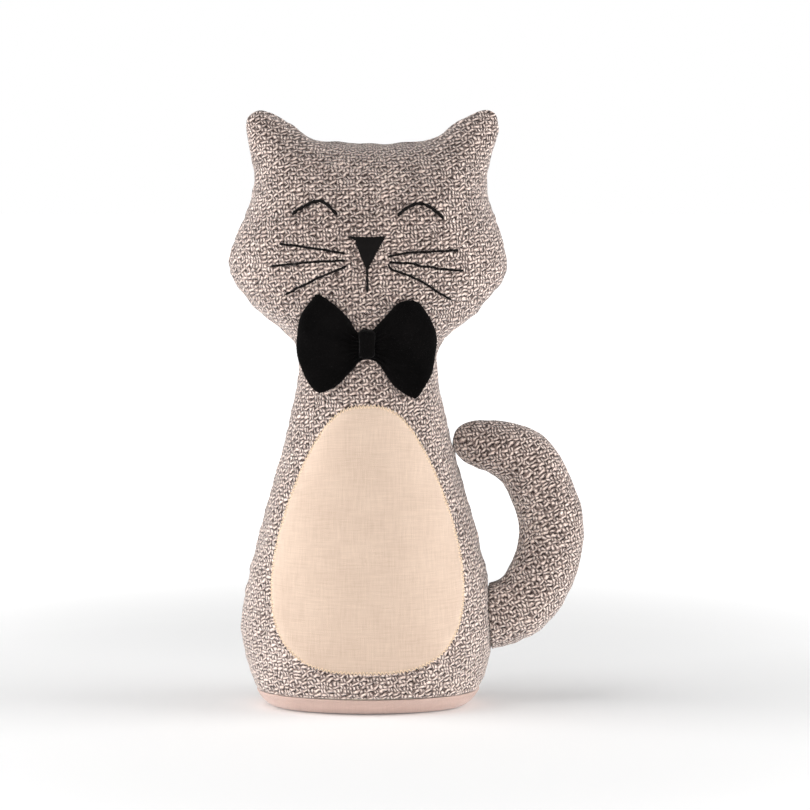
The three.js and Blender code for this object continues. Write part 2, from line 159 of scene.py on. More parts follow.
class Wire:
    """A number socket of a node tree that takes part in Python arithmetic."""

    __add__ = __radd__ = math_node("ADD")
    __mul__ = __rmul__ = math_node("MULTIPLY")
    __sub__ = math_node("SUBTRACT")
    __truediv__ = math_node("DIVIDE")
    __pow__ = math_node("POWER")
    __mod__ = math_node("FLOORED_MODULO")
    __gt__ = math_node("GREATER_THAN")
    floor, fract = math_node("FLOOR"), math_node("FRACT")
    size, sine = math_node("ABSOLUTE"), math_node("SINE")
    least, most = math_node("MINIMUM"), math_node("MAXIMUM")
    square_root = math_node("SQRT")

    def __init__(self, graph: "Tree", socket: bpy.types.NodeSocket) -> None:
        """Takes the tree and the output that carries the number."""
        self.graph, self.socket = graph, socket

    def __rsub__(self, other: float) -> "Wire":
        """Difference with a plain number first."""
        return self * -1.0 + other

    def root(self) -> "Wire":
        """Square root, of nought where the number is negative."""
        return self.most(0.0).square_root()

    def clipped(self, low: float = 0.0) -> "Wire":
        """The number, kept between low and 1."""
        return self.least(1.0).most(low)

    def towards(self, other: "Wire | float", share: "Wire | float") -> "Wire":
        """This number at share 0 and the other at share 1."""
        return self + share * (self * -1.0 + other)

    def step(self, low: float, high: float) -> "Wire":
        """Rises smoothly from 0 at low to 1 at high."""
        inputs = {"Value": self, "From Min": low, "From Max": high}
        return self.graph.wire("ShaderNodeMapRange", inputs, interpolation_type="SMOOTHSTEP")


class Tree:
    """A node tree that nodes are added to in one way, whatever it makes."""

    def __init__(self, tree: bpy.types.NodeTree) -> None:
        """Takes the tree."""
        self.tree = tree

    def node(self, kind: str, inputs: "dict | Sequence" = (), **settings: object) -> bpy.types.Node:
        """Adds a node.

        Args:
            kind: the node's type.
            inputs: its sockets' values or links, by name or in order.
            settings: its properties, set before its sockets.

        Returns:
            The node.
        """
        node = self.tree.nodes.new(kind)
        for name, value in settings.items():
            setattr(node, name, value)
        for key, value in inputs.items() if isinstance(inputs, dict) else enumerate(inputs):
            self.feed(node.inputs[key], value)
        return node

    def feed(self, socket: bpy.types.NodeSocket, value: object) -> None:
        """Links a socket to a wire or an output, or sets its plain value."""
        value = value.socket if isinstance(value, Wire) else value
        if isinstance(value, bpy.types.NodeSocket):
            self.tree.links.new(value, socket)
        else:
            socket.default_value = (*value, 1.0) if socket.type == "RGBA" and len(value) == 3 else value

    def out(self, kind: str, inputs: object = (), output: "str | int" = 0, **settings: object) -> object:
        """Adds a node and returns one of its outputs."""
        return self.node(kind, inputs, **settings).outputs[output]

    def wire(self, kind: str, inputs: object = (), output: "str | int" = 0, **settings: object) -> Wire:
        """Adds a node and returns one of its outputs as a number."""
        return Wire(self, self.out(kind, inputs, output, **settings))

    def seen(self) -> Wire:
        """1 for rays that the camera sees, straight or by way of gloss and glass, else 0."""
        rays = self.node("ShaderNodeLightPath").outputs
        kinds = ("Camera", "Glossy", "Transmission")
        camera, gloss, glass = (Wire(self, rays[f"Is {kind} Ray"]) for kind in kinds)
        return camera.most(gloss).most(glass)


class Graph(Tree):
    """The shader tree of one material, with a Principled surface at its end."""

    def __init__(self, name: str) -> None:
        """Makes the material of that name."""
        self.material = bpy.data.materials.new(name)
        self.material.use_nodes = True
        super().__init__(self.material.node_tree)
        self.surface = self.tree.nodes["Principled BSDF"]

    def place(self) -> bpy.types.NodeSocket:
        """Where a point lies in the object's own space."""
        return self.out("ShaderNodeTexCoord", output="Object")

    def on_cloth(self) -> tuple[Wire, Wire]:
        """Where a point lies on the flat cloth."""
        return self.split(self.out("ShaderNodeUVMap", output="UV", uv_map=CLOTH_MAP))[:2]

    def split(self, vector: bpy.types.NodeSocket) -> tuple[Wire, ...]:
        """The three numbers of a vector."""
        return tuple(Wire(self, part) for part in self.node("ShaderNodeSeparateXYZ", [vector]).outputs)

    def join(self, *parts: "Wire | float") -> bpy.types.NodeSocket:
        """A vector of up to three numbers."""
        return self.out("ShaderNodeCombineXYZ", parts)

    def noise(self, vector: object, scale: float, detail: float = 2.0, roughness: float = 0.5) -> Wire:
        """Soft noise from 0 to 1, with so many lumps a unit."""
        inputs = {"Vector": vector, "Scale": scale, "Detail": detail, "Roughness": roughness}
        return self.wire("ShaderNodeTexNoise", inputs)

    def dice(self, *parts: "Wire | float") -> Wire:
        """One random number from 0 to 1 for each whole cell."""
        return self.wire("ShaderNodeTexWhiteNoise", [self.join(*parts)], noise_dimensions="3D")

    def blend(self, share: "Wire | float", first: object, second: object) -> bpy.types.NodeSocket:
        """The first colour at share 0 and the second at share 1."""
        inputs = {0: share, 6: first, 7: second}
        return self.out("ShaderNodeMix", inputs, 2, data_type="RGBA", clamp_factor=True)

    def ramp(self, share: Wire, stops: Sequence[tuple[float, Colour]]) -> bpy.types.NodeSocket:
        """The colour at a share of a ramp, from its stops' places and colours."""
        node = self.node("ShaderNodeValToRGB", [share])
        elements = node.color_ramp.elements
        while len(elements) < len(stops):
            elements.new(0.5)
        for element, (place, colour) in zip(elements, stops):
            element.position = place
            element.color = (*colour, 1.0)
        return node.outputs[0]

    def bump(self, height: Wire, depth: float, strength: float = 1.0) -> None:
        """Lets a height, in shares of a depth in metres, turn the surface's normal."""
        inputs = {"Strength": strength, "Distance": depth, "Height": height}
        self.feed(self.surface.inputs["Normal"], self.out("ShaderNodeBump", inputs))

    def finish(self, colour: object, roughness: "Wire | float", **fixed: object) -> bpy.types.Material:
        """Sets the surface.

        Args:
            colour: base colour.
            roughness: roughness.
            fixed: other sockets of the surface, with spaces as underscores, each a plain value.

        Returns:
            The material.
        """
        self.feed(self.surface.inputs["Base Color"], colour)
        self.feed(self.surface.inputs["Roughness"], roughness)
        for name, value in fixed.items():
            label = name.replace("_", " ").title().replace("Ior", "IOR")
            self.feed(self.surface.inputs[label], value)
        return self.material


@dataclass(frozen=True)
class Tweed:
    """Chunky melange tweed: slanted floats of thick yarn, brick fashion, with upright yarns between them."""

    span: float = 3.25 * MM
    row: float = 2.0 * MM
    float_slant: float = 0.55
    upright_slant: float = 0.16
    turn: float = math.radians(2)
    waver: tuple[float, float] = (1.35, 2.0)
    slips: float = 0.12
    float_taper: float = 3.2
    upright_taper: float = 2.6
    length_taper: float = 1.8
    flecks: float = 1.05
    clouds: float = 0.3
    depth: float = 0.8 * MM
    # Ramp colours: painted shade in the hollows between yarns, the yarns' own mid tones, and a painted
    # highlight on the crests that is partly the pale yarn's own colour.
    painted_hollow_shade: Colour = srgb(50, 40, 37)
    shaded: Colour = srgb(114, 98, 92)
    middle: Colour = srgb(190, 169, 159)
    crest_and_highlight: Colour = srgb(246, 229, 219)
    # Painted highlight: a warm pale tint laid on the tops of the floats.
    warm_highlight: Colour = srgb(250, 222, 208)

    def material(self) -> bpy.types.Material:
        """Builds the cloth's shader on its flat pattern map."""
        graph = Graph("tweed")
        u, v = graph.on_cloth()
        cos, sin = math.cos(self.turn), math.sin(self.turn)
        flat = graph.join(u, v)
        sway = graph.noise(flat, 230.0, 3.0, 0.6) - 0.5
        drift = graph.noise(graph.join(v, u, 0.3), 200.0, 3.0, 0.6) - 0.5
        x = u * (cos / self.span) + v * (sin / self.span) + sway * self.waver[0]
        y = v * (cos / self.row) - u * (sin / self.row) + drift * self.waver[1]
        block_x, block_y = x.floor(), y.floor()
        in_x, in_y = x.fract() - 0.5, y.fract() - 0.5
        slip = graph.dice(block_x, block_y, 7.0) > 1.0 - self.slips
        over = (block_x + block_y + slip) % 2.0
        lean = graph.dice(block_x, block_y, 3.0) * 0.9 + 0.55
        upright = (in_x + in_y * lean * self.upright_slant + 0.5) * 2.0
        strand = upright.floor() * over
        float_off = (in_y - in_x * lean * self.float_slant) * self.float_taper
        off = float_off.towards((upright.fract() - 0.5) * self.upright_taper, over)
        along = in_x.towards(in_y, over)
        height = (1.0 - off * off).root() * (1.0 - (along * self.length_taper) ** 2.0).root()
        pick = graph.dice(block_x * 3.0 + strand, block_y, over * 5.0)
        ply = (along * 9.0 + off * 3.0 + pick * 6.0).sine() * 0.5 + 0.5
        fleck = graph.noise(graph.join(u, v, over * 0.01), 1000.0, 3.0, 0.65)
        cloud = graph.noise(flat, 60.0, 2.0)
        # Painted light: the cloth is painted lighter towards the foot, standing in for the light that falls
        # on the lower body.
        low = 1.0 - graph.split(graph.place())[2].step(0.03, 0.17)
        # The yarn's height lightens its top and darkens the gaps between yarns: painted highlight and painted
        # shade, over the yarn's own tones from pick, ply, flecks and clouds.
        lit = height * height * 0.7 + height * 0.14 + pick * 0.17 + low * 0.1 - (1.0 - ply) * 0.1
        lit = lit + (fleck - 0.5) * self.flecks + (cloud - 0.5) * self.clouds
        # Painted light and shade: each float is lighter on its upper side and darker underneath, as if lit
        # from above.
        lit = lit + off.clipped(-1.0) * (1.0 - over) * 0.16
        stops = [(0.0, self.painted_hollow_shade), (0.34, self.shaded), (0.64, self.middle), (1.0, self.crest_and_highlight)]
        # Painted highlight: the warm tint grows with the height of each weft float.
        body = graph.blend((1.0 - over) * height * pick * 0.3, graph.ramp(lit.clipped(), stops), self.warm_highlight)
        graph.bump(height + fleck * 0.3 + ply * 0.1, self.depth)
        sheen = {"sheen_weight": 1.0, "sheen_roughness": 0.4, "sheen_tint": (1.0, 0.9, 0.86)}
        return graph.finish(body, 0.95, specular_ior_level=0.12, **sheen)


@dataclass(frozen=True)
class PlainWeave:
    """A fine plain weave of even yarns with slubs, for the linen patch and the foot."""

    name: str
    ground: Colour
    thread: Colour
    depth: float
    pitch: float = 0.5 * MM
    fullness: float = 1.9

    def material(self) -> bpy.types.Material:
        """Builds the cloth's shader on its flat pattern map."""
        graph = Graph(self.name)
        u, v = graph.on_cloth()
        flat = graph.join(u, v)
        sway = (graph.noise(flat, 260.0, 1.0) - 0.5) * 0.5
        x, y = u / self.pitch + sway, v / self.pitch + sway
        odd = (x.floor() + y.floor()) % 2.0
        hump_x, hump_y = (((way.fract() - 0.5) * self.fullness) ** 2.0 for way in (x, y))
        weft = (1.0 - hump_y).root() * (1.0 - hump_x * 0.6)
        warp = (1.0 - hump_x).root() * (1.0 - hump_y * 0.6)
        height = weft.towards(warp, odd)
        along_x = graph.noise(graph.join(x * 0.07, y.floor() * 3.7), 1.0)
        along_y = graph.noise(graph.join(x.floor() * 3.7, y * 0.07, 4.0), 1.0)
        slub = along_x.towards(along_y, odd)
        wide_x = graph.noise(graph.join(x * 0.035, y * 0.8, 2.0), 1.0)
        wide_y = graph.noise(graph.join(x * 0.8, y * 0.035, 9.0), 1.0)
        cloud = graph.noise(flat, 45.0, 3.0)
        # Painted shade: the yarn's height lightens each thread's top and darkens the gaps between threads;
        # slubs and clouds are the cloth's own tones.
        share = height * 0.5 + slub * 0.6 + (wide_x + wide_y - 1.0) * 0.42 + (cloud - 0.5) * 0.35 + 0.02
        graph.bump(height * (slub + 0.5), self.depth, 0.55)
        colour = graph.blend(share, self.ground, self.thread)
        return graph.finish(colour, 0.9, sheen_weight=0.25, sheen_roughness=0.5, specular_ior_level=0.25)


@dataclass(frozen=True)
class Fibre:
    """Fine fibre from two noises in the object's own space: velvet's pile, twisted thread and wadding.

    The noises are each a scale, a detail and a roughness. The colour's share takes so much of the first and
    the second, less the third number. The bump takes so much of the second noise, to a depth and strength.
    """

    name: str
    dark: Colour
    light: Colour
    first: tuple[float, float, float]
    second: tuple[float, float, float]
    shares: tuple[float, float, float]
    relief: tuple[float, float, float]
    roughness: float
    unevenness: float = 0.0
    surface: tuple[tuple[str, object], ...] = ()

    def material(self) -> bpy.types.Material:
        """Builds the fibre's shader."""
        graph = Graph(self.name)
        place = graph.place()
        first, second = graph.noise(place, *self.first), graph.noise(place, *self.second)
        much, more, less = self.shares
        share = (first * much + second * more - less).clipped()
        graph.bump(first + second * self.relief[0], *self.relief[1:])
        roughness = first * self.unevenness + self.roughness if self.unevenness else self.roughness
        return graph.finish(graph.blend(share, self.dark, self.light), roughness, **dict(self.surface))

    @classmethod
    def thread(cls, name: str, dark: Colour, light: Colour, roughness: float, shine: float) -> "Fibre":
        """Twisted cotton embroidery or sewing thread with a soft shine."""
        noises = ((2600.0, 2.0, 0.6), (320.0, 1.0, 0.5), (0.8, 0.5, 0.25), (0.0, 0.12 * MM, 0.5))
        surface = (("sheen_weight", 0.03), ("specular_ior_level", shine))
        return cls(name, dark, light, *noises, roughness - 0.1, 0.2, surface)


VELVET = Fibre(
    "velvet",
    srgb(3, 3, 3),
    srgb(19, 17, 17),
    first=(900.0, 3.0, 0.7),
    second=(60.0, 2.0, 0.5),
    shares=(0.6, 0.8, 0.45),
    relief=(0.0, 0.5 * MM, 0.6),
    roughness=0.95,
    surface=(
        ("sheen_weight", 0.07),
        ("sheen_roughness", 0.3),
        ("sheen_tint", (0.85, 0.82, 0.84)),
        ("specular_ior_level", 0.03),
    ),
)
WADDING = Fibre(
    "wadding",
    srgb(206, 204, 200),
    srgb(246, 245, 242),
    first=(60.0, 6.0, 0.7),
    second=(500.0, 4.0, 0.8),
    shares=(1.0, 0.6, 0.3),
    relief=(0.4, 2.0 * MM, 0.8),
    roughness=1.0,
    surface=(("sheen_weight", 0.3),),
)


@dataclass(frozen=True)
class Calico:
    """The sand bag's plain unbleached cloth, woven in the object's own space."""

    shaded: Colour = srgb(196, 184, 162)
    pale: Colour = srgb(226, 216, 197)
    pitch: float = 0.8 * MM

    def material(self) -> bpy.types.Material:
        """Builds the cloth's shader."""
        graph = Graph("calico")
        place = graph.place()
        x, y, z = graph.split(place)
        weave = ((x + y) * (TURN / self.pitch)).sine() * (z * (TURN / self.pitch)).sine() * 0.5 + 0.5
        share = weave * 0.5 + graph.noise(place, 140.0, 3.0) * 0.6 - 0.05
        graph.bump(weave, 0.2 * MM, 0.6)
        return graph.finish(graph.blend(share, self.shaded, self.pale), 0.95, sheen_weight=0.2)


class Slot(Enum):
    """The record's material slots that the pieces take their finish from."""

    TWEED = "tweed"
    LINEN = "linen"
    BASE = "base_cloth"
    VELVET = "velvet"
    BLACK = "black_thread"
    CREAM = "cream_thread"
    WADDING = "wadding"
    SACK = "sack_cloth"


@dataclass(frozen=True)
class Wardrobe:
    """Every material of the door stop, made once."""

    made: dict[Slot, bpy.types.Material]

    @classmethod
    def sewn(cls) -> "Wardrobe":
        """Makes the materials that the sub-assemblies dress from."""
        finishes = {
            Slot.TWEED: Tweed(),
            Slot.LINEN: PlainWeave("linen", srgb(164, 139, 122), srgb(215, 193, 174), 0.25 * MM),
            Slot.BASE: PlainWeave("base_cloth", srgb(170, 142, 131), srgb(205, 178, 167), 0.18 * MM),
            Slot.VELVET: VELVET,
            Slot.BLACK: Fibre.thread("black_thread", srgb(4, 3, 3), srgb(17, 13, 12), 0.75, 0.08),
            Slot.CREAM: Fibre.thread("cream_thread", srgb(228, 200, 168), srgb(250, 230, 202), 0.6, 0.3),
            Slot.WADDING: WADDING,
            Slot.SACK: Calico(),
        }
        return cls({slot: finish.material() for slot, finish in finishes.items()})

    def dress(self, piece: bpy.types.Object, slot: Slot) -> None:
        """Gives a piece its only material, the one made for a slot."""
        piece.data.materials.clear()
        piece.data.materials.append(self.made[slot])


@dataclass
class Skin:
    """A bare mesh: points, faces and a place on the flat cloth for each point."""

    points: Array
    faces: list[Corners]
    flat: Array

    def mesh(self, name: str) -> bpy.types.Object:
        """A named mesh object at the origin, shaded smooth, with its cloth map."""
        data = bpy.data.meshes.new(name)
        data.from_pydata(self.points.tolist(), [], self.faces)
        layer = data.uv_layers.new(name=CLOTH_MAP)
        corners = np.zeros(len(data.loops), np.int32)
        data.loops.foreach_get("vertex_index", corners)
        layer.data.foreach_set("uv", self.flat[corners].astype(np.float32).ravel())
        data.shade_smooth()
        data.update()
        return put(name, data)

    def only(self, wanted: Callable[[Corners], bool]) -> "Skin":
        """The faces that pass a test, with the points that they need."""
        faces = [face for face in self.faces if wanted(face)]
        used = sorted({corner for face in faces for corner in face})
        place = {old: new for new, old in enumerate(used)}
        kept = [tuple(place[corner] for corner in face) for face in faces]
        return Skin(self.points[used], kept, self.flat[used])


class Workshop:
    """Steps that several pieces share."""

    @staticmethod
    def points_of(piece: bpy.types.Object, kind: str = "co") -> Array:
        """The points of a mesh object, or with kind "normal" their smooth normals, as an array."""
        values = np.zeros(len(piece.data.vertices) * 3, np.float32)
        piece.data.vertices.foreach_get(kind, values)
        return values.reshape(-1, 3).astype(float)

    @staticmethod
    def move(piece: bpy.types.Object, points: Array) -> None:
        """Puts a mesh object's points somewhere else."""
        piece.data.vertices.foreach_set("co", points.astype(np.float32).ravel())
        piece.data.update()

    @classmethod
    def push(cls, piece: bpy.types.Object, out: Array) -> None:
        """Moves each point of a piece so far out along its normal."""
        cls.move(piece, cls.points_of(piece) + cls.points_of(piece, "normal") * out[:, None])

    @staticmethod
    def settle(piece: bpy.types.Object) -> None:
        """Turns every live modifier of a piece into plain mesh. The piece keeps its name and materials."""
        graph = bpy.context.evaluated_depsgraph_get()
        graph.update()
        data = bpy.data.meshes.new_from_object(piece.evaluated_get(graph), depsgraph=graph)
        old = piece.data
        piece.modifiers.clear()
        piece.data = data
        data.name = piece.name
        bpy.data.meshes.remove(old)

    @classmethod
    def refine(cls, piece: bpy.types.Object, levels: int) -> None:
        """Subdivides a piece smoothly and for good."""
        finer = piece.modifiers.new("finer", "SUBSURF")
        finer.levels = finer.render_levels = levels
        finer.boundary_smooth = "PRESERVE_CORNERS"
        cls.settle(piece)

    @staticmethod
    def edges_of(piece: bpy.types.Object) -> Array:
        """The two ends of each edge of a mesh object."""
        ends = np.zeros(len(piece.data.edges) * 2, np.int32)
        piece.data.edges.foreach_get("vertices", ends)
        return ends.reshape(-1, 2)

    @classmethod
    def even(cls, piece: bpy.types.Object, values: Array, times: int = 1) -> Array:
        """Averages values over neighbouring points.

        Args:
            piece: whose edges join the points.
            values: one number or one row for each point.
            times: how often.

        Returns:
            The evened values.
        """
        ends = cls.edges_of(piece)
        shared = np.bincount(ends.ravel(), minlength=len(values)) + 1
        for _ in range(times):
            total = values.copy()
            np.add.at(total, ends[:, 0], values[ends[:, 1]])
            np.add.at(total, ends[:, 1], values[ends[:, 0]])
            values = (total.T / shared).T
        return values

    @classmethod
    def thicken(cls, piece: bpy.types.Object, inward: float) -> None:
        """Gives a sheet its wall, inward from its face, and a closed rim."""
        work = bmesh.new()
        work.from_mesh(piece.data)
        bmesh.ops.remove_doubles(work, verts=work.verts, dist=0.2 * MM)
        bmesh.ops.dissolve_degenerate(work, edges=work.edges, dist=0.05 * MM)
        work.to_mesh(piece.data)
        work.free()
        face = cls.points_of(piece)
        normals = unit(cls.even(piece, cls.points_of(piece, "normal"), 3))
        wall = piece.modifiers.new("wall", "SOLIDIFY")
        wall.thickness, wall.offset = inward, -1.0
        wall.use_even_offset = False
        cls.settle(piece)
        points = cls.points_of(piece)
        points[len(face) : 2 * len(face)] = face - normals * inward
        cls.move(piece, points)

    @staticmethod
    def distances(points: Array, targets: Array) -> Array:
        """How far each point lies from the nearest target."""
        tree = KDTree(len(targets))
        for index, target in enumerate(targets):
            tree.insert(target, index)
        tree.balance()
        return np.array([tree.find(point)[2] for point in points])

    @classmethod
    def rim_distance(cls, piece: bpy.types.Object) -> Array:
        """How far each point of a sheet lies from its open rim."""
        ends = cls.edges_of(piece)
        loops = np.zeros(len(piece.data.loops), np.int32)
        piece.data.loops.foreach_get("edge_index", loops)
        open_edges = np.bincount(loops, minlength=len(ends)) == 1
        points = cls.points_of(piece)
        return cls.distances(points, points[np.unique(ends[open_edges])])

    @staticmethod
    def ripple(points: Array, wave: float, seed: int) -> Array:
        """Smooth noise from about -1 to 1 at each point, from a few plane waves.

        Args:
            points: where.
            wave: the ripples' length.
            seed: which ripples.

        Returns:
            One number for each point.
        """
        draw = np.random.default_rng(seed)
        total = np.zeros(len(points))
        for _ in range(9):
            way = draw.normal(size=3)
            way /= np.linalg.norm(way)
            pace = TURN / (wave * draw.uniform(0.7, 1.6))
            total += np.sin(points @ way * pace + draw.uniform(0, TURN))
        return total / 3.0

    @staticmethod
    def face_away(piece: bpy.types.Object, middle: Vector) -> None:
        """Turns every face of an open or closed skin the same way, away from a point inside it."""
        work = bmesh.new()
        work.from_mesh(piece.data)
        bmesh.ops.recalc_face_normals(work, faces=work.faces)
        ways = ((face, face.calc_center_median() - middle) for face in work.faces)
        if sum(way.dot(face.normal) * face.calc_area() for face, way in ways) < 0:
            bmesh.ops.reverse_faces(work, faces=work.faces)
        work.to_mesh(piece.data)
        work.free()
        piece.data.update()

    @staticmethod
    def hang(piece: bpy.types.Object, node: str) -> None:
        """Lets a piece ride on the only body, in place of the solid that it stands for."""
        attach(piece, "root")
        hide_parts(node)
        LOG.info("%s: %d points, stands for %s", piece.name, len(piece.data.vertices), node)


@dataclass(frozen=True)
class Seam:
    """How stuffed cloth lies by a seam: sunk at it, puckered beside it and lumpy further off."""

    sink: float
    reach: float
    pucker: float
    lump: float
    lump_wave: float
    calm: float = 0.0

    def work(self, piece: bpy.types.Object, far: Array, seed: int) -> None:
        """Shapes a panel.

        Args:
            piece: the panel, still one sheet.
            far: how far each of its points lies from the seam.
            seed: which puckers and lumps.
        """
        points = Workshop.points_of(piece)
        tuck = self.pucker * Workshop.ripple(points, 9 * MM, seed) * bell(far, 4 * MM, 4 * MM)
        fade = np.clip(far / self.calm, 0, 1) if self.calm else 1.0
        lumps = self.lump * Workshop.ripple(points, self.lump_wave, seed + 1) * fade
        Workshop.push(piece, tuck + lumps - self.sink * bell(far, self.reach))


@dataclass(frozen=True)
class Inflation:
    """A short cloth simulation that lets stuffing swell a sewn skin."""

    frames: int = 18
    cap: float = 1.2 * MM
    sink: float = 0.2 * MM
    evening: int = 12
    settings: ClassVar[dict[str, object]] = {
        "quality": 6,
        "mass": 0.15,
        "tension_stiffness": 20.0,
        "compression_stiffness": 20.0,
        "shear_stiffness": 8.0,
        "bending_stiffness": 0.4,
        "use_pressure": True,
        "uniform_pressure_force": 4.0,
        "shrink_min": -0.02,
        "vertex_group_mass": "held",
        "pin_stiffness": 1.0,
    }

    def swell(self, skin: Skin, held: Array) -> Array:
        """Runs the simulation.

        Args:
            skin: the closed skin.
            held: which points the seams hold still, from 0 to 1.

        Returns:
            The swollen points, none further out than the cap nor further in than the sink.
        """
        piece = skin.mesh("swelling")
        normals = Workshop.points_of(piece, "normal")
        group = piece.vertex_groups.new(name="held")
        for index, weight in enumerate(held):
            group.add([index], float(weight), "REPLACE")
        cloth = piece.modifiers.new("cloth", "CLOTH")
        for name, value in self.settings.items():
            setattr(cloth.settings, name, value)
        cloth.settings.effector_weights.gravity = 0.0
        scene = bpy.context.scene
        for times in (scene, cloth.point_cache):
            times.frame_start, times.frame_end = 1, self.frames
        for number in range(1, self.frames + 1):
            scene.frame_set(number)
        graph = bpy.context.evaluated_depsgraph_get()
        swollen = np.array([vertex.co for vertex in piece.evaluated_get(graph).data.vertices])
        scene.frame_set(1)
        push = np.sum((swollen - skin.points) * normals, axis=1)
        quarters = np.round(np.percentile(push, (0, 25, 50, 75, 100)) / MM, 2)
        LOG.info("swelling: %s mm at its quarters", quarters)
        for _ in range(self.evening):
            push = Workshop.even(piece, push) * (1 - held)
        bpy.data.objects.remove(piece)
        return skin.points + normals * np.clip(push, -self.sink, self.cap)[:, None]


@dataclass
class Cover:
    """The sewn cover: a front and a back of tweed and a dished foot, as the frame's solids have them."""

    wardrobe: Wardrobe
    edge: Stations = (
        (56.0, 8.0), (64.0, 40.0), (55.5, 84.0), (42.0, 133.0), (35.0, 177.0), (55.0, 198.0),
        (69.6, 221.0), (58.3, 259.0), (63.4, 289.0), (56.5, 298.0), (40.0, 290.9), (28.0, 282.9),
        (0.0, 281.0),
    )
    body_depth: float = 96 * MM
    seam_depth: float = 86 * MM
    hip_height: float = 40 * MM
    cheek_height: float = 221 * MM
    ear_height: float = 298 * MM
    ear_lean: float = 2.6 * MM
    spine: tuple[float, float] = (46 * MM, 251 * MM)
    foot_rounding: float = 8 * MM
    steps_per_span: int = 7
    seam_points: int = 24
    rings: int = 17
    foot_bends: int = 4
    foot_floors: int = 3
    wall: float = 1.2 * MM
    crease_depth: float = 0.9 * MM
    crease_reach: float = 2.2 * MM
    seam: Seam = Seam(1.1 * MM, 1.7 * MM, 0.35 * MM, 0.35 * MM, 34 * MM, 12 * MM)
    whole: Skin = field(init=False)
    back_start: int = field(init=False)
    foot_start: int = field(init=False)

    def edge_line(self) -> Array:
        """The right-hand edge from the base seam to the crown, through its stations, smooth between them."""
        knots = np.array(self.edge) * MM
        return smooth(np.vstack([knots[0], knots, knots[-1]]), self.steps_per_span)

    def half_width(self, height: float) -> float:
        """Half the width of the edge at a height, without the lean of the ears."""
        line = self.edge_line()
        above = int(np.argmax(line[:, 1] > height))
        low, high = line[above - 1], line[above]
        return float(low[0] + (high[0] - low[0]) * (height - low[1]) / (high[1] - low[1]))

    def net(self) -> tuple[Array, Array, Array]:
        """The flat net of one side.

        Returns:
            Points in X and Z, the table of its rings of points, and which points are sewn.
        """
        right = self.edge_line()
        left = right[:-1][::-1] * [-1, 1]
        angles = math.pi * (np.arange(1, self.seam_points) / self.seam_points - 0.5)
        seam = np.column_stack([right[0, 0] * np.sin(angles), np.full(len(angles), right[0, 1])])
        loop = np.vstack([seam, right, left])
        spine = np.column_stack([np.zeros(len(loop)), np.clip(loop[:, 1], *self.spine)])
        found: dict[tuple[float, float], int] = {}
        points = []
        table = np.zeros((self.rings + 1, len(loop)), int)
        for ring in range(self.rings + 1):
            share = math.sin(math.pi / 2 * ring / self.rings)
            for spot, place in enumerate(spine + (loop - spine) * share):
                key = (round(float(place[0]), 7), round(float(place[1]), 7))
                if key not in found:
                    found[key] = len(points)
                    points.append(place)
                table[ring, spot] = found[key]
        sewn = np.zeros(len(points), bool)
        sewn[table[-1, len(seam) :]] = True
        return np.array(points), table, sewn

    @staticmethod
    def lift(points: Array, faces: list[Corners], sewn: Array) -> Array:
        """How full each point of the net is, as the square root of an evenly loaded membrane.

        Args:
            points: the net's points.
            faces: its faces.
            sewn: which points are held down.

        Returns:
            0 on the sewn edge, 1 where it is fullest.
        """
        count = len(points)
        pull = np.zeros((count, count))
        load = np.zeros(count)
        for face in faces:
            for a, b, c in ((face[0], face[i], face[i + 1]) for i in range(1, len(face) - 1)):
                for first, second, apex in ((a, b, c), (b, c, a), (c, a, b)):
                    to_first, to_second = points[first] - points[apex], points[second] - points[apex]
                    area = abs(to_first[0] * to_second[1] - to_first[1] * to_second[0])
                    weight = float(to_first @ to_second) / area / 2
                    pull[[first, second], [second, first]] -= weight
                    pull[[first, second], [first, second]] += weight
                    load[apex] += area / 6
        free = ~sewn
        height = np.zeros(count)
        height[free] = np.linalg.solve(pull[np.ix_(free, free)], load[free])
        return np.sqrt(np.maximum(0.0, height) / height.max())

    @staticmethod
    def flat_places(front: Array, table: Array) -> Array:
        """Where each point lies on the flat cloth: the way along its ray from the spine, rolled out.

        Args:
            front: the front's points.
            table: the net's rings.

        Returns:
            Two numbers for each point.
        """
        flat = np.zeros((len(front), 2))
        root = front[table[0]][:, [0, 2]]
        flat[table[0]] = root
        way = unit(front[table[-1]][:, [0, 2]] - root)
        gone = np.zeros(len(root))
        for last, ring in zip(table, table[1:]):
            step = front[ring] - front[last]
            gone = gone + 0.7 * np.linalg.norm(step, axis=1) + 0.3 * np.linalg.norm(step[:, [0, 2]], axis=1)
            flat[ring] = root + way * gone[:, None]
        return flat

    def foot(self, rim: Array) -> list[Array]:
        """The rings of the foot's points, which round inwards from the rim and then close below."""
        along = np.roll(rim, 1, axis=0) - np.roll(rim, -1, axis=0)
        inward = unit(np.column_stack([along[:, 1], -along[:, 0], np.zeros(len(rim))]))
        tucks = Workshop.ripple(rim, 16 * MM, 33) * 0.5 * MM
        levels = []
        for step in range(1, self.foot_bends + self.foot_floors + 1):
            run = min(1.0, step / self.foot_bends)
            angle = run * math.pi / 2
            inset = 0.45 * (1 - math.cos(angle)) + 0.55 * run
            drop = 0.45 * math.sin(angle) + 0.55 * run
            level = rim + inward * (self.foot_rounding * inset + (tucks * math.sin(math.pi * run))[:, None])
            level[:, :2] *= 1 - max(0.0, step - self.foot_bends) / (self.foot_floors + 1)
            level[:, 2] = rim[:, 2] * (1 - drop)
            levels.append(level)
        return levels

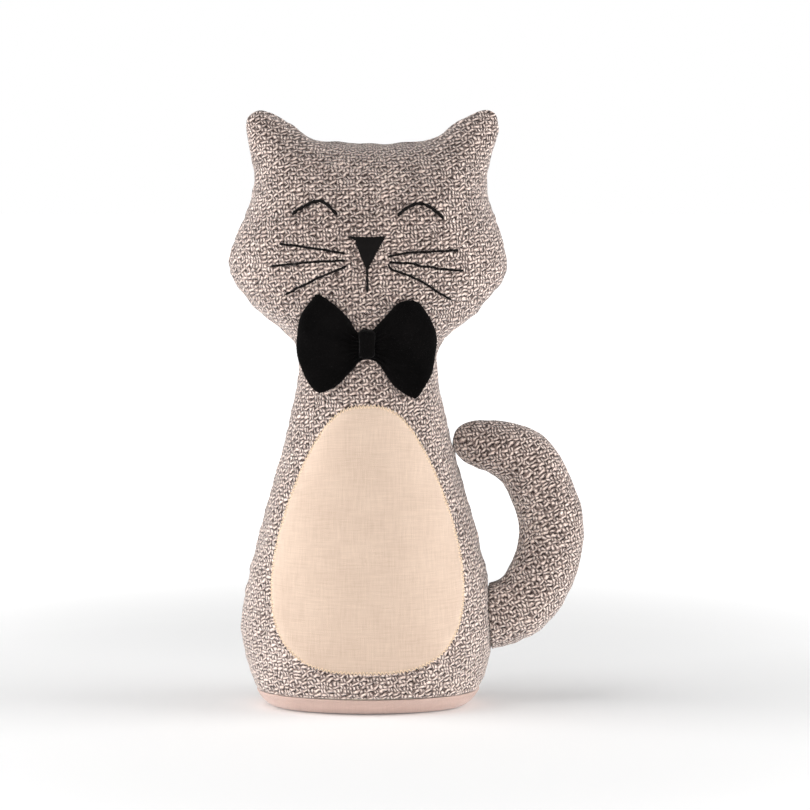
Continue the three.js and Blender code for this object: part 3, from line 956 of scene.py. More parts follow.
    def skin(self) -> tuple[Skin, Array]:
        """The whole closed skin, and which of its points the seams hold."""
        places, table, sewn = self.net()
        faces = quads(table, closed=True)
        bottom = [int(spot) for spot in table[-1, range(-1, self.seam_points)]]
        lift = self.lift(places, faces, sewn)
        z = places[:, 1]
        lean = (z - self.cheek_height) / (self.ear_height - self.cheek_height)
        x = places[:, 0] + self.ear_lean * np.maximum(0.0, lean)
        raised = np.clip((z - z.min()) / (self.hip_height - z.min()), 0, 1)
        raised = raised * raised * (3 - 2 * raised)
        seam_full = self.seam_depth / max(lift[bottom])
        depth = (seam_full + (self.body_depth - seam_full) * raised) / 2 * lift
        front = np.column_stack([x, -depth, z])
        flat = self.flat_places(front, table)
        count = self.back_start = len(places)
        own = [index if sewn[index] else index + count for index in range(count)]
        ring = [*bottom, *(own[index] for index in reversed(bottom[1:-1]))]
        both = np.vstack([front, front * [1, -1, 1]])
        levels = self.foot(both[ring])
        start = self.foot_start = len(both)
        rows = np.arange(start, start + len(levels) * len(ring)).reshape(len(levels), len(ring))
        middle = np.full(len(ring), start + rows.size)
        faces += [tuple(own[corner] for corner in reversed(face)) for face in faces]
        faces += quads(np.vstack([ring, rows, middle]), closed=True)
        points = np.vstack([both, *levels, np.zeros(3)])
        flats = np.vstack([flat, flat, *(level[:, :2] for level in levels), np.zeros(2)])
        held = np.zeros(len(points))
        held[np.flatnonzero(sewn)] = held[ring] = held[start:] = 1.0
        return Skin(points, faces, flats), held

    def stuff(self) -> BVHTree:
        """Makes the closed skin and swells it.

        Returns:
            The skin as a tree that points can be laid on.
        """
        self.whole, held = self.skin()
        self.whole.points = Inflation().swell(self.whole, held)
        return BVHTree.FromPolygons(self.whole.points.tolist(), self.whole.faces)

    def build(self, tail_root: Array) -> BVHTree:
        """Makes the three covers and hangs them on the frame.

        Args:
            tail_root: the line on the hip that the tail is sewn along, where the cloth is drawn in.

        Returns:
            The front cover as a tree that points can be laid on.
        """

        def side(face: Corners) -> str:
            if any(corner >= self.foot_start for corner in face):
                return "base"
            return "back" if any(corner >= self.back_start for corner in face) else "front"

        trees = []
        plan = (("front", Slot.TWEED), ("back", Slot.TWEED), ("base", Slot.BASE))
        for seed, (name, slot) in enumerate(plan):
            piece = self.whole.only(lambda face: side(face) == name).mesh(f"{name}_cover")
            Workshop.refine(piece, 2)
            if slot is Slot.TWEED:
                self.seam.work(piece, Workshop.rim_distance(piece), 20 + seed)
                far = Workshop.distances(Workshop.points_of(piece), tail_root)
                Workshop.push(piece, -self.crease_depth * bell(far, self.crease_reach))
            Workshop.thicken(piece, self.wall)
            self.wardrobe.dress(piece, slot)
            Workshop.hang(piece, f"{name}_panel")
            faces = [tuple(face.vertices) for face in piece.data.polygons]
            trees.append(BVHTree.FromPolygons(Workshop.points_of(piece).tolist(), faces))
        return trees[0]


class Recipe(Tree):
    """A Geometry Nodes tree with named inputs, which is applied to a piece for good."""

    kinds = {float: "NodeSocketFloat", int: "NodeSocketInt", type(None): "NodeSocketMaterial"}

    def __init__(self, name: str, **inputs: "float | int | None") -> None:
        """Args:
            name: the tree's name.
            inputs: what each named input starts with, where None stands for a material.
        """
        super().__init__(bpy.data.node_groups.new(name, "GeometryNodeTree"))
        self.labels: dict[str, str] = {}
        face = self.tree.interface
        face.new_socket("Geometry", in_out="INPUT", socket_type="NodeSocketGeometry")
        for label, value in inputs.items():
            socket = face.new_socket(label, in_out="INPUT", socket_type=self.kinds[type(value)])
            if value is not None:
                socket.default_value = value
            self.labels[label] = socket.identifier
        face.new_socket("Geometry", in_out="OUTPUT", socket_type="NodeSocketGeometry")
        self.given = self.tree.nodes.new("NodeGroupInput").outputs

    def end(self, geometry: bpy.types.NodeSocket) -> None:
        """Ends the tree: plain mesh, smooth, in the given material."""
        real = self.out("GeometryNodeRealizeInstances", [self.out("GeometryNodeSetShadeSmooth", [geometry])])
        inputs = {"Geometry": real, "Material": self.given["material"]}
        self.node("NodeGroupOutput", [self.out("GeometryNodeSetMaterial", inputs)])

    def apply(self, piece: bpy.types.Object, **values: object) -> None:
        """Runs the tree on a piece with these inputs and keeps the result as plain mesh."""
        modifier = piece.modifiers.new(self.tree.name, "NODES")
        modifier.node_group = self.tree
        for label, value in values.items():
            modifier[self.labels[label]] = value
        Workshop.settle(piece)


class CordRecipe(Recipe):
    """Sweeps a thread of two twisted plies along every line of a mesh."""

    plies = 2
    corners = 6

    def __init__(self) -> None:
        """Builds the tree with its named sizes."""
        sizes = {"radius": 0.5 * MM, "lobe": 0.2, "twist": 1400.0, "spacing": 0.4 * MM, "taper": 8.0}
        super().__init__("cord", **sizes, material=None)
        line = self.out("GeometryNodeMeshToCurve", [self.given["Geometry"]])
        bent = self.out("GeometryNodeCurveSplineType", [line], spline_type="CATMULL_ROM")
        spaced = {"Curve": bent, "Length": self.given["spacing"]}
        even = self.out("GeometryNodeResampleCurve", spaced, mode="LENGTH")
        spline = self.node("GeometryNodeSplineParameter").outputs
        turn = Wire(self, spline["Length"]) * self.given["twist"]
        tilted = self.out("GeometryNodeSetCurveTilt", {"Curve": even, "Tilt": turn})
        sized = {"Resolution": self.plies * self.corners, "Radius": self.given["radius"]}
        circle = self.out("GeometryNodeCurvePrimitiveCircle", sized)
        swell = (self.wire("GeometryNodeInputIndex") * (TURN / self.corners)).sine() * self.given["lobe"]
        place = self.out("GeometryNodeInputPosition")
        push = self.out("ShaderNodeVectorMath", {"Vector": place, "Scale": swell}, operation="SCALE")
        profile = self.out("GeometryNodeSetPosition", {"Geometry": circle, "Offset": push})
        end = (Wire(self, spline["Factor"]) * 2.0 - 1.0).size() ** self.given["taper"]
        sweep = {"Curve": tilted, "Profile Curve": profile, "Scale": end * -0.45 + 1.0, "Fill Caps": True}
        self.end(self.out("GeometryNodeCurveToMesh", sweep))


class PileRecipe(Recipe):
    """Stands short hairs all over a mesh and keeps the mesh."""

    def __init__(self) -> None:
        """Builds the tree with its named sizes."""
        sizes = {"density": 1.0e6, "length": 0.8 * MM, "width": 0.09 * MM, "lean": 0.5}
        super().__init__("pile", **sizes, seed=1, material=None)
        ground, seed = self.given["Geometry"], self.given["seed"]
        spreading = {"Mesh": ground, "Density": self.given["density"], "Seed": seed}
        spread = self.node("GeometryNodeDistributePointsOnFaces", spreading).outputs
        span = {0: (-1.0, -1.0, -1.0), 1: (1.0, 1.0, 1.0), "Seed": seed}
        stray = self.out("FunctionNodeRandomValue", span, data_type="FLOAT_VECTOR")
        lean = self.out("ShaderNodeVectorMath", {0: stray, "Scale": self.given["lean"]}, operation="SCALE")
        away = self.out("ShaderNodeVectorMath", [spread["Normal"], lean], operation="ADD")
        hair = {"Vertices": 3, "Radius Bottom": self.given["width"], "Depth": self.given["length"]}
        planted = {
            "Points": spread["Points"],
            "Instance": self.out("GeometryNodeMeshCone", hair),
            "Rotation": self.out("FunctionNodeAlignRotationToVector", {"Vector": away}, axis="Z"),
            "Scale": self.out("FunctionNodeRandomValue", {2: 0.5, 3: 1.0, "Seed": 5}, 1, data_type="FLOAT"),
        }
        hairs = self.out("GeometryNodeInstanceOnPoints", planted)
        both = self.node("GeometryNodeJoinGeometry", [ground])
        self.feed(both.inputs[0], hairs)
        self.end(both.outputs[0])


@dataclass
class Needle:
    """Lays points on the sewn cover, where the face and the patch are worked."""

    ground: BVHTree
    cords: CordRecipe
    wardrobe: Wardrobe

    def lay(self, places: Array, lift: "Array | float") -> Array:
        """Finds the cover's front behind each place.

        Args:
            places: X and Z of each point.
            lift: how far out of the cloth each point lies.

        Returns:
            The points in space.
        """
        beside = [(0.0, 0.0), (1.2 * MM, 0.0), (-0.6 * MM, 1.0 * MM), (-0.6 * MM, -1.0 * MM)]
        back = Vector((0, 1, 0))
        found = []
        for x, z in places:
            hits = [self.ground.ray_cast(Vector((x + out, -1.0, z + up)), back) for out, up in beside]
            ways = [hit[1] if hit[1].y < 0 else -hit[1] for hit in hits if hit[0] is not None]
            found.append([*hits[0][0], *sum(ways, Vector()).normalized()])
        table = np.array(found)
        return table[:, :3] + table[:, 3:] * np.broadcast_to(lift, len(table))[:, None]

    @staticmethod
    def curve(stations: Stations) -> Array:
        """A smooth line through stations in millimetres, as evenly spaced places in metres."""
        knots = np.array(stations, float) * MM
        line = smooth(np.vstack([2 * knots[0] - knots[1], knots, 2 * knots[-1] - knots[-2]]), 24)
        return evenly(line, len(line))

    def sew(self, name: str, lines: Sequence[Array], slot: Slot, node: str, **sizes: float) -> None:
        """Turns lines into thread and hangs it in place of its solid.

        Args:
            name: the new piece's name.
            lines: where the thread runs.
            slot: the thread's finish.
            node: the solid that it stands for.
            sizes: the cord's sizes.
        """
        data = bpy.data.meshes.new(name)
        edges, start = [], 0
        for line in lines:
            edges += [(start + i, start + i + 1) for i in range(len(line) - 1)]
            start += len(line)
        data.from_pydata(np.vstack(lines).tolist(), edges, [])
        piece = put(name, data)
        self.cords.apply(piece, material=self.wardrobe.made[slot], **sizes)
        self.wardrobe.dress(piece, slot)
        Workshop.hang(piece, node)

    def stitches(self, line: Array, length: float, radius: float, seed: int) -> list[Array]:
        """Breaks a line into overlapping hand stitches.

        Args:
            line: X and Z along the line.
            length: a stitch's length, about.
            radius: the thread's radius.
            seed: which small slips of the hand.

        Returns:
            The points of each stitch, down in the cloth at its ends.
        """
        draw = np.random.default_rng(seed)
        gone = lengths(line)
        ends = np.linspace(0, gone[-1], max(1, round(gone[-1] / length)) + 1)
        share = np.linspace(0, 1, 9)
        lift = radius * (1.45 * np.sin(math.pi * share) ** 0.45 - 0.6)
        made = []
        for first, last in zip(ends[:-1], ends[1:]):
            reach = np.clip(first + (last - first) * (share * 1.16 - 0.08), 0, gone[-1])
            places = read_at(reach, gone, line)
            way = places[-1] - places[0]
            side = np.array([-way[1], way[0]]) / max(np.linalg.norm(way), 1e-9)
            slip = draw.normal(0, 0.12 * MM, 2)
            places += side * (slip[0] + (slip[1] - slip[0]) * share)[:, None]
            made.append(self.lay(places, lift))
        return made


@dataclass
class BellyPatch:
    """The linen egg on the belly with its zigzag."""

    needle: Needle
    bottom: float = 22 * MM
    height: float = 130.5 * MM
    half_width: float = 47.2 * MM
    bluntness: float = 0.66
    fullness: float = 0.36
    spots: int = 176
    rings: int = 34
    proud: float = 0.85 * MM
    cloth: float = 0.6 * MM
    puckers: int = 31
    zigzag_pitch: float = 1.9 * MM
    zigzag_width: float = 2.2 * MM
    zigzag_radius: float = 0.17 * MM
    edge_length: float = 0.37

    def outline(self, count: int, grow: float = 0.0) -> Array:
        """The egg's edge, or one so far outside it, as evenly spaced X and Z."""
        turn = np.linspace(0, TURN, 2000, endpoint=False)
        wide = np.abs(np.sin(turn)) ** self.bluntness * (1 + self.fullness * np.cos(turn))
        x = np.sign(np.sin(turn)) * wide / wide.max() * self.half_width
        line = np.column_stack([x, self.bottom + self.height / 2 * (1 - np.cos(turn))])
        along = np.roll(line, -1, axis=0) - np.roll(line, 1, axis=0)
        line = line + unit(np.column_stack([along[:, 1], -along[:, 0]])) * grow
        return evenly(np.vstack([line, line[0]]), count + 1)[:-1]

    def patch(self) -> None:
        """Lays the linen on the cover."""
        edge = self.outline(self.spots)
        middle = np.array([0.0, self.bottom + self.height * 0.46])
        ragged = Workshop.ripple(np.column_stack([edge, edge[:, 0]]), 7 * MM, 3) * 0.18 * MM
        edge = edge + unit(edge - middle) * ragged[:, None]
        shares = 1 - (1 - np.linspace(0, 1, self.rings + 1)[1:]) ** 1.5
        places = np.vstack([middle, *(middle + (edge - middle) * share for share in shares)])
        radii = np.linalg.norm(edge - middle, axis=1)
        inside = np.concatenate([[radii.min()], *(radii * (1 - share) for share in shares)])
        turn = np.tile(np.arange(self.spots) / self.spots * TURN, self.rings)
        tuck = np.concatenate([[0.0], np.sin(turn * self.puckers + 2.2 * np.sin(turn * 5))])
        lift = self.proud - 0.35 * MM * bell(inside, 1.3 * MM) + 0.3 * MM * bell(inside, 3 * MM, 4 * MM)
        points = self.needle.lay(places, lift + tuck * 0.16 * MM * bell(inside, 3 * MM, 3 * MM))
        flat = np.tile(middle, (len(points), 1))
        table = np.arange(1, len(points)).reshape(self.rings, self.spots)
        table = np.vstack([np.zeros(self.spots, int), table])
        gone = np.zeros(self.spots)
        for last, ring in zip(table, table[1:]):
            gone = gone + np.linalg.norm(points[ring] - points[last], axis=1)
            flat[ring] = middle + unit(edge - middle) * gone[:, None]
        piece = Skin(points, quads(table, closed=True), flat).mesh("linen_patch")
        Workshop.face_away(piece, Vector((0, 1, 0.1)))
        Workshop.thicken(piece, self.cloth)
        self.needle.wardrobe.dress(piece, Slot.LINEN)
        Workshop.hang(piece, "belly_patch")

    def build(self) -> None:
        """Makes the patch and sews the zigzag over its edge."""
        self.patch()
        count = 2 * round(self.edge_length / self.zigzag_pitch)
        edges = self.outline(count, -self.zigzag_width * 0.62), self.outline(count, self.zigzag_width * 0.38)
        draw = np.random.default_rng(8)
        share = np.linspace(0, 1, 5)
        bow = np.sin(math.pi * share) ** 0.5
        lines = []
        for i in range(count):
            start, end = edges[i % 2][i], edges[1 - i % 2][(i + 1) % count]
            places = start + (end - start) * share[:, None] + draw.normal(0, 0.06 * MM, 2)
            far_in = share if i % 2 else 1 - share
            lift = self.zigzag_radius * (1.6 * bow - 0.6) + self.proud * np.clip(far_in * 1.6, 0, 0.75)
            lines.append(self.needle.lay(places, lift))
        sizes = {"radius": self.zigzag_radius, "twist": 2500.0, "spacing": 0.42 * MM}
        self.needle.sew("zigzag", lines, Slot.CREAM, "belly_stitching", **sizes)


@dataclass
class Face:
    """The face embroidered in black thread: closed eyes, nose, mouth and whiskers, all worked by hand."""

    needle: Needle
    stitch: float = 4.4 * MM
    eye_radius: float = 0.78 * MM
    whisker_radius: float = 0.56 * MM
    mouth_radius: float = 0.6 * MM
    satin_pitch: float = 0.5 * MM
    satin_radius: float = 0.36 * MM
    nose_top: float = 235.4 * MM
    nose_left: Stations = ((-9.6, 235.3), (-5.7, 233.5), (-4.7, 230.3), (-2.3, 224.4), (-0.5, 219.8))
    nose_right: Stations = ((9.1, 235.4), (6.8, 231.8), (4.9, 228.1), (2.9, 224.4), (0.6, 219.8))
    nose_edge: Stations = ((-9.6, 235.5), (-5.0, 235.1), (0.0, 235.0), (5.0, 235.2), (9.2, 235.5))
    strokes: ClassVar[dict[str, Stations]] = {
        "left_eye": ((-36.2, 246.2), (-31.7, 249.6), (-24.5, 252.6), (-20.2, 251.4), (-14.8, 246.4)),
        "right_eye": ((15.1, 246.0), (20.2, 249.9), (25.8, 251.4), (31.5, 249.2), (36.7, 244.6)),
        "mouth": ((-0.1, 220.5), (0.1, 214.9), (0.3, 208.7)),
        "left_whisker_upper": ((-10.9, 227.5), (-20.4, 229.0), (-31.7, 230.7), (-42.8, 231.8)),
        "left_whisker_middle": ((-10.9, 224.0), (-23.0, 223.5), (-36.0, 222.2), (-46.8, 220.8)),
        "left_whisker_lower": (
            (-10.2, 221.1), (-16.3, 218.7), (-23.0, 215.8), (-31.7, 211.4), (-40.0, 207.2),
        ),
        "right_whisker_upper": ((10.5, 226.0), (20.3, 227.7), (33.2, 228.3), (44.4, 228.8)),
        "right_whisker_middle": ((10.9, 223.1), (20.3, 222.6), (27.2, 221.3), (37.6, 219.5), (47.0, 218.8)),
        "right_whisker_lower": (
            (10.4, 221.9), (11.6, 219.8), (16.0, 218.1), (24.6, 214.7), (33.0, 209.3), (41.0, 204.5),
        ),
    }

    def nose(self) -> None:
        """Fills the nose with satin stitch, thread beside thread."""
        left, right = Needle.curve(self.nose_left), Needle.curve(self.nose_right)
        draw = np.random.default_rng(4)
        share = np.linspace(0, 1, 9)
        lift = self.satin_radius * (2.3 * np.sin(math.pi * np.clip(share, 0.02, 0.98)) ** 0.3 - 0.7)
        lines = []
        for x in np.arange(left[0, 0] + 0.2 * MM, right[0, 0], self.satin_pitch):
            side = left if x < 0.05 * MM else right
            side = side[np.argsort(side[:, 0])]
            bottom = float(np.interp(x, side[:, 0], side[:, 1]))
            high, low = self.nose_top + draw.normal(0, 0.1 * MM), bottom + draw.normal(0, 0.1 * MM)
            places = np.column_stack([np.full(len(share), x), high + (low - high) * share])
            lines.append(self.needle.lay(places, lift))
        lines += self.needle.stitches(Needle.curve(self.nose_edge), 9 * MM, self.satin_radius, 12)
        sizes = {"radius": self.satin_radius, "twist": 500.0, "lobe": 0.12, "spacing": 0.7 * MM}
        self.needle.sew("satin_nose", lines, Slot.BLACK, "nose", **sizes)

    def build(self) -> None:
        """Works every stroke of the face."""
        self.nose()
        radii = {"eye": self.eye_radius, "whisker": self.whisker_radius, "mouth": self.mouth_radius}
        for seed, (name, stations) in enumerate(self.strokes.items()):
            radius = next(radius for part, radius in radii.items() if part in name)
            lines = self.needle.stitches(Needle.curve(stations), self.stitch, radius, 30 + seed)
            self.needle.sew(f"{name}_thread", lines, Slot.BLACK, name, radius=radius, twist=900.0)


@dataclass
class Tail:
    """The stuffed tail: two halves of tweed in a round hook, sewn on at the hip."""

    wardrobe: Wardrobe
    body: BVHTree
    hip: float
    flank: float
    width: float = 33 * MM
    depth: float = 27 * MM
    root_height: float = 43 * MM
    tip_height: float = 134.2 * MM
    reach: float = 92 * MM
    tip_width: float = 16.5 * MM
    taper_from: float = 0.66
    sides: int = 40
    rings: int = 84
    wall: float = 1.2 * MM
    seam: Seam = Seam(1.0 * MM, 1.5 * MM, 0.2 * MM, 0.22 * MM, 30 * MM)
    grain: float = math.radians(-8)

    def line(self) -> tuple[Array, Array, float]:
        """The middle line in X and Z: places and directions at even steps, and the line's length."""
        out, up = self.reach - self.hip, self.tip_height - self.root_height
        low = self.root_height
        stations = np.array(
            [
                (self.hip - 2.8 * MM - self.width / 2, low - 2 * MM),
                (self.hip + 0.3 * out, low + 0.05 * up),
                (self.hip + 0.78 * out, low + 0.22 * up),
                (self.reach, low + 0.5 * up),
                (self.hip + 0.68 * out, low + 0.8 * up),
                (self.hip + 0.25 * out, low + 0.92 * up),
                (self.flank + 0.5 * self.tip_width, self.tip_height - 0.02 * up),
                (self.flank, self.tip_height),
            ]
        )
        line = smooth(np.vstack([stations[0], stations, stations[-1]]), 60)
        places = evenly(line, 801)
        return places, unit(np.gradient(places, axis=0)), float(lengths(line)[-1])

    def surface(self, share: Array, angle: Array) -> tuple[Array, Array]:
        """Points of the outside.

        Args:
            share: how far along the middle line, 0 to 1.
            angle: how far round, 0 on the hook's outer side.

        Returns:
            The points, and where each lies on the flat cloth.
        """
        places, ways, length = self.line()
        round_from = 1 - self.tip_width / 2 / length
        past = np.maximum(0, (share - self.taper_from) / (1 - self.taper_from))
        rounding = np.clip((share - round_from) / (1 - round_from), 0, 1)
        scale = (1 - (1 - self.tip_width / self.width) * past * past) * np.sqrt(1 - rounding**2)
        even = np.linspace(0, 1, len(places))
        middle, along = read_at(share, even, places), read_at(share, even, ways)
        side = np.column_stack([along[:, 1], -along[:, 0]])
        across = middle + side * (self.width / 2 * scale * np.cos(angle))[:, None]
        points = np.column_stack([across[:, 0], self.depth / 2 * scale * np.sin(angle), across[:, 1]])
        spread = -(self.width + self.depth) / 4 * ((angle % math.pi) - math.pi / 2) * scale
        flat = middle + side * np.where(np.sin(angle) < 0, -spread, spread)[:, None]
        return points, np.column_stack(turned(flat[:, 0], flat[:, 1], self.grain))

    def first_share(self, angle: float) -> float:
        """Where one long line of the tail comes out of the body."""
        shares = np.linspace(0, 0.4, 300)
        points, _ = self.surface(shares, np.full(300, angle))
        last = 0.0
        for share, point in zip(shares, points):
            spot, normal, _, _ = self.body.find_nearest(Vector(point))
            if (Vector(point) - spot).dot(normal) < 0.1 * MM:
                last = share
        return last

    def root(self) -> Array:
        """The line on the hip that the tail is sewn along."""
        angles = np.linspace(0, TURN, self.sides, endpoint=False)
        shares = np.array([self.first_share(angle) for angle in angles])
        return self.surface(shares, angles)[0]

    def half(self, side: str, start: float, seed: int) -> None:
        """Makes one half of the tube.

        Args:
            side: front or back.
            start: the angle that the half begins at.
            seed: which puckers.
        """
        count = self.sides // 2 + 1
        angles = start + np.linspace(0, math.pi, count)
        firsts = np.array([self.first_share(angle) for angle in angles])
        rings = []
        for step in np.linspace(0, 1, self.rings)[:-1]:
            eased = step if step < 0.9 else 0.9 + 0.1 * math.sin((step - 0.9) / 0.1 * math.pi / 2)
            rings.append(self.surface(firsts + (0.9985 - firsts) * eased, angles))
        rings.append(self.surface(np.ones(1), np.array([start + math.pi / 2])))
        points, flats = (np.vstack(parts) for parts in zip(*rings))
        top = len(points) - 1
        table = np.vstack([np.arange(top).reshape(-1, count), np.full(count, top)])
        piece = Skin(points, quads(table.T), flats).mesh(f"tail_{side}_cover")
        Workshop.face_away(piece, Vector((75 * MM, 0, 88 * MM)))
        Workshop.refine(piece, 1)
        self.seam.work(piece, np.abs(Workshop.points_of(piece)[:, 1]), seed)
        Workshop.thicken(piece, self.wall)
        self.wardrobe.dress(piece, Slot.TWEED)
        Workshop.hang(piece, f"tail_{side}_panel")

    def build(self) -> None:
        """Makes both halves."""
        self.half("front", math.pi, 50)
        self.half("back", 0.0, 60)


@dataclass
class BowTie:
    """The velvet bow: two wings of one folded strip, pleated, and a band round its waist."""

    wardrobe: Wardrobe
    pile: PileRecipe
    height: float = 183 * MM
    thickness: float = 11 * MM
    columns: int = 64
    rows: int = 56
    upper_fold: float = 0.28
    left: ClassVar[dict[str, Stations]] = {
        "top": ((0, 6.0), (-4.9, 6.4), (-9.2, 12.8), (-16.0, 19.8), (-22.4, 24.4), (-25.2, 24.9)),
        "fold": (
            (-25.2, 24.9), (-29.0, 19.4), (-32.8, 12.0), (-34.6, 2.4), (-34.0, -7.2), (-30.8, -15.6),
            (-26.8, -22.2), (-23.7, -25.2),
        ),
        "foot": ((0, -7.2), (-4.1, -8.4), (-7.5, -13.2), (-13.4, -19.6), (-19.4, -23.8), (-23.7, -25.2)),
    }
    right: ClassVar[dict[str, Stations]] = {
        "top": ((0, 6.0), (2.8, 6.5), (6.1, 10.4), (11.0, 16.4), (16.8, 21.2), (22.4, 22.4)),
        "fold": (
            (22.4, 22.4), (26.4, 20.0), (30.6, 13.4), (33.4, 5.4), (33.8, -3.0), (32.0, -12.6),
            (28.8, -20.8), (26.2, -25.6), (23.6, -27.8),
        ),
        "foot": ((0, -7.2), (4.4, -8.9), (8.6, -14.8), (13.6, -20.8), (19.2, -25.8), (23.6, -27.8)),
    }
    knot_width: float = 8.0 * MM
    knot_height: float = 13.8 * MM
    knot_rise: float = 1.0 * MM
    knot_sides: int = 72
    knot_rings: int = 25
    squareness: float = 0.6
    pile_length: float = 0.75 * MM

    def seat(self, points: Array, middle: float, height: float) -> Array:
        """Leans points as the bow's solid leans, from its upper and lower corners, and puts them in place."""
        solid = Workshop.points_of(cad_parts["bow_loop"])
        top = solid[solid[:, 2] > solid[:, 2].max() - 4 * MM].mean(axis=0)
        foot = solid[solid[:, 2] < solid[:, 2].min() + 4 * MM].mean(axis=0)
        y, z = turned(points[:, 1], points[:, 2], math.atan2(foot[1] - top[1], top[2] - foot[2]))
        return np.column_stack([points[:, 0], y + middle, z + height])

    def wing(self, outline: dict[str, Stations], low_fold: float) -> tuple[Array, Array]:
        """The two sheets of one wing, spanned between its edges.

        Args:
            outline: the top, the outer fold and the foot of the wing.
            low_fold: how far down the lower pleat lies, from 0 in the middle to -1 at the foot.

        Returns:
            A grid of points from the knot to the fold and from foot to top, and which lie on the rim.
        """

        def side(name: str, at: Array, turned_round: bool = False) -> Array:
            line = Needle.curve(outline[name])
            return read_at(at, np.linspace(0, 1, len(line)), line[::-1] if turned_round else line)

        outs = np.sin(np.linspace(0, math.pi / 2, self.columns + 1))
        ups = np.sin(np.linspace(-math.pi / 2, math.pi / 2, self.rows + 1))
        high = (ups + 1) / 2
        top, foot, outer = side("top", outs), side("foot", outs), side("fold", high, True)
        inner = foot[0] + (top[0] - foot[0]) * high[:, None]
        s, t = outs[:, None, None], high[None, :, None]
        edges = inner[None] * (1 - s) + outer[None] * s + foot[:, None] * (1 - t) + top[:, None] * t
        corners = (inner[0] * (1 - s) + outer[0] * s) * (1 - t) + (inner[-1] * (1 - s) + outer[-1] * s) * t
        flat = edges - corners
        out, up = np.meshgrid(outs, ups, indexing="ij")
        rim = np.sqrt(np.maximum(0.0, (1 - out**6) * (1 - up**6)))
        half = self.thickness / 2 * (0.6 + 0.4 * out)
        low, high = (1 / (1 + np.exp(-(up - fold) / 0.02)) for fold in (low_fold, self.upper_fold))
        gather = np.cos(9 * math.pi * up) * bell(out, 0.35) * 0.6 * MM
        pleat = ((low - high) * 1.7 * MM - 0.6 * MM) * np.sqrt(out) + gather
        depths = (-rim * (half + pleat), rim * half)
        sheets = [np.stack([flat[..., 0], depth, flat[..., 1]], axis=-1) for depth in depths]
        return np.stack(sheets), (out >= 1 - 1e-9) | (np.abs(up) >= 1 - 1e-9)

    def loop(self) -> bpy.types.Object:
        """Makes both wings as one closed, padded skin that runs through under the knot."""
        left, rim = self.wing(self.left, -0.38)
        right, _ = self.wing(self.right, -0.5)
        points = np.concatenate([left[:, ::-1], right[:, 1:]], axis=1).reshape(-1, 3)
        edge = np.concatenate([rim[::-1], rim[1:]], axis=0)
        places = np.arange(edge.size).reshape(edge.shape)
        back = quads(np.where(edge, places, places + edge.size))
        faces = []
        for front_face, back_face in zip(quads(places), back):
            faces += [front_face, (back_face[0], *reversed(back_face[1:]))]
        low, high = (np.array(corner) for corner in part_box("bow_loop"))
        whole = self.seat(points, (low[1] + high[1]) / 2, self.height)
        skin = Skin(whole, faces, np.zeros((len(whole), 2))).only(lambda face: True)
        piece = skin.mesh("bow_wings")
        Workshop.push(piece, Workshop.ripple(skin.points, 14 * MM, 71) * 0.35 * MM)
        return piece

    def knot(self) -> bpy.types.Object:
        """Makes the band round the waist."""
        low, high = (np.array(corner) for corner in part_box("bow_knot"))
        depth, middle = high[1] - low[1], (low[1] + high[1]) / 2
        sides = self.knot_sides
        turns = np.linspace(0, TURN, sides, endpoint=False)
        waves = (np.sin(turns), np.cos(turns))
        round_y, round_z = (np.sign(wave) * np.abs(wave) ** self.squareness for wave in waves)
        rings = []
        for share in np.sin(np.linspace(-math.pi / 2, math.pi / 2, self.knot_rings)):
            size = 0.74 + 0.26 * (1 - abs(share) ** 2.4) ** 0.5 * (1 + 0.04 * math.cos(share * 8))
            x = share * self.knot_width / 2 * (1 - 0.1 * np.abs(np.sin(turns)))
            y, z = round_y * depth / 2 * size, round_z * self.knot_height / 2 * size
            rings.append(np.column_stack([x, y, z]))
        ends = len(rings) * sides
        table = np.arange(ends).reshape(-1, sides)
        faces = [(face[0], *reversed(face[1:])) for face in quads(table, closed=True)]
        for i, j in zip(table[0], np.roll(table[0], -1)):
            faces += [(ends, int(j), int(i)), (ends + 1, int(ends - sides + i), int(ends - sides + j))]
        points = np.vstack([*rings, rings[0].mean(axis=0), rings[-1].mean(axis=0)])
        whole = self.seat(points, middle, (low[2] + high[2]) / 2 + self.knot_rise)
        piece = Skin(whole, faces, np.zeros((len(whole), 2))).mesh("bow_band")
        Workshop.face_away(piece, Vector((0, middle, self.height)))
        Workshop.push(piece, Workshop.ripple(Workshop.points_of(piece), 9 * MM, 72) * 0.2 * MM)
        return piece

    def build(self) -> None:
        """Makes both pieces with their pile."""
        material = self.wardrobe.made[Slot.VELVET]
        for piece, node, seed in ((self.loop(), "bow_loop", 5), (self.knot(), "bow_knot", 6)):
            self.pile.apply(piece, material=material, length=self.pile_length, seed=seed)
            self.wardrobe.dress(piece, Slot.VELVET)
            Workshop.hang(piece, node)


@dataclass
class Stuffing:
    """What fills the cloth, which keeps the shape of its solids."""

    wardrobe: Wardrobe
    parts: ClassVar[dict[str, Slot]] = {
        "fibre_filling": Slot.WADDING,
        "tail_filling": Slot.WADDING,
        "weight_bag": Slot.SACK,
    }

    def build(self) -> None:
        """Dresses the solids."""
        for name, slot in self.parts.items():
            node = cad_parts[name]
            node.data.materials.clear()
            node.data.materials.append(self.wardrobe.made[slot])
            LOG.info("%s: keeps its solid, in %s", name, slot.value)


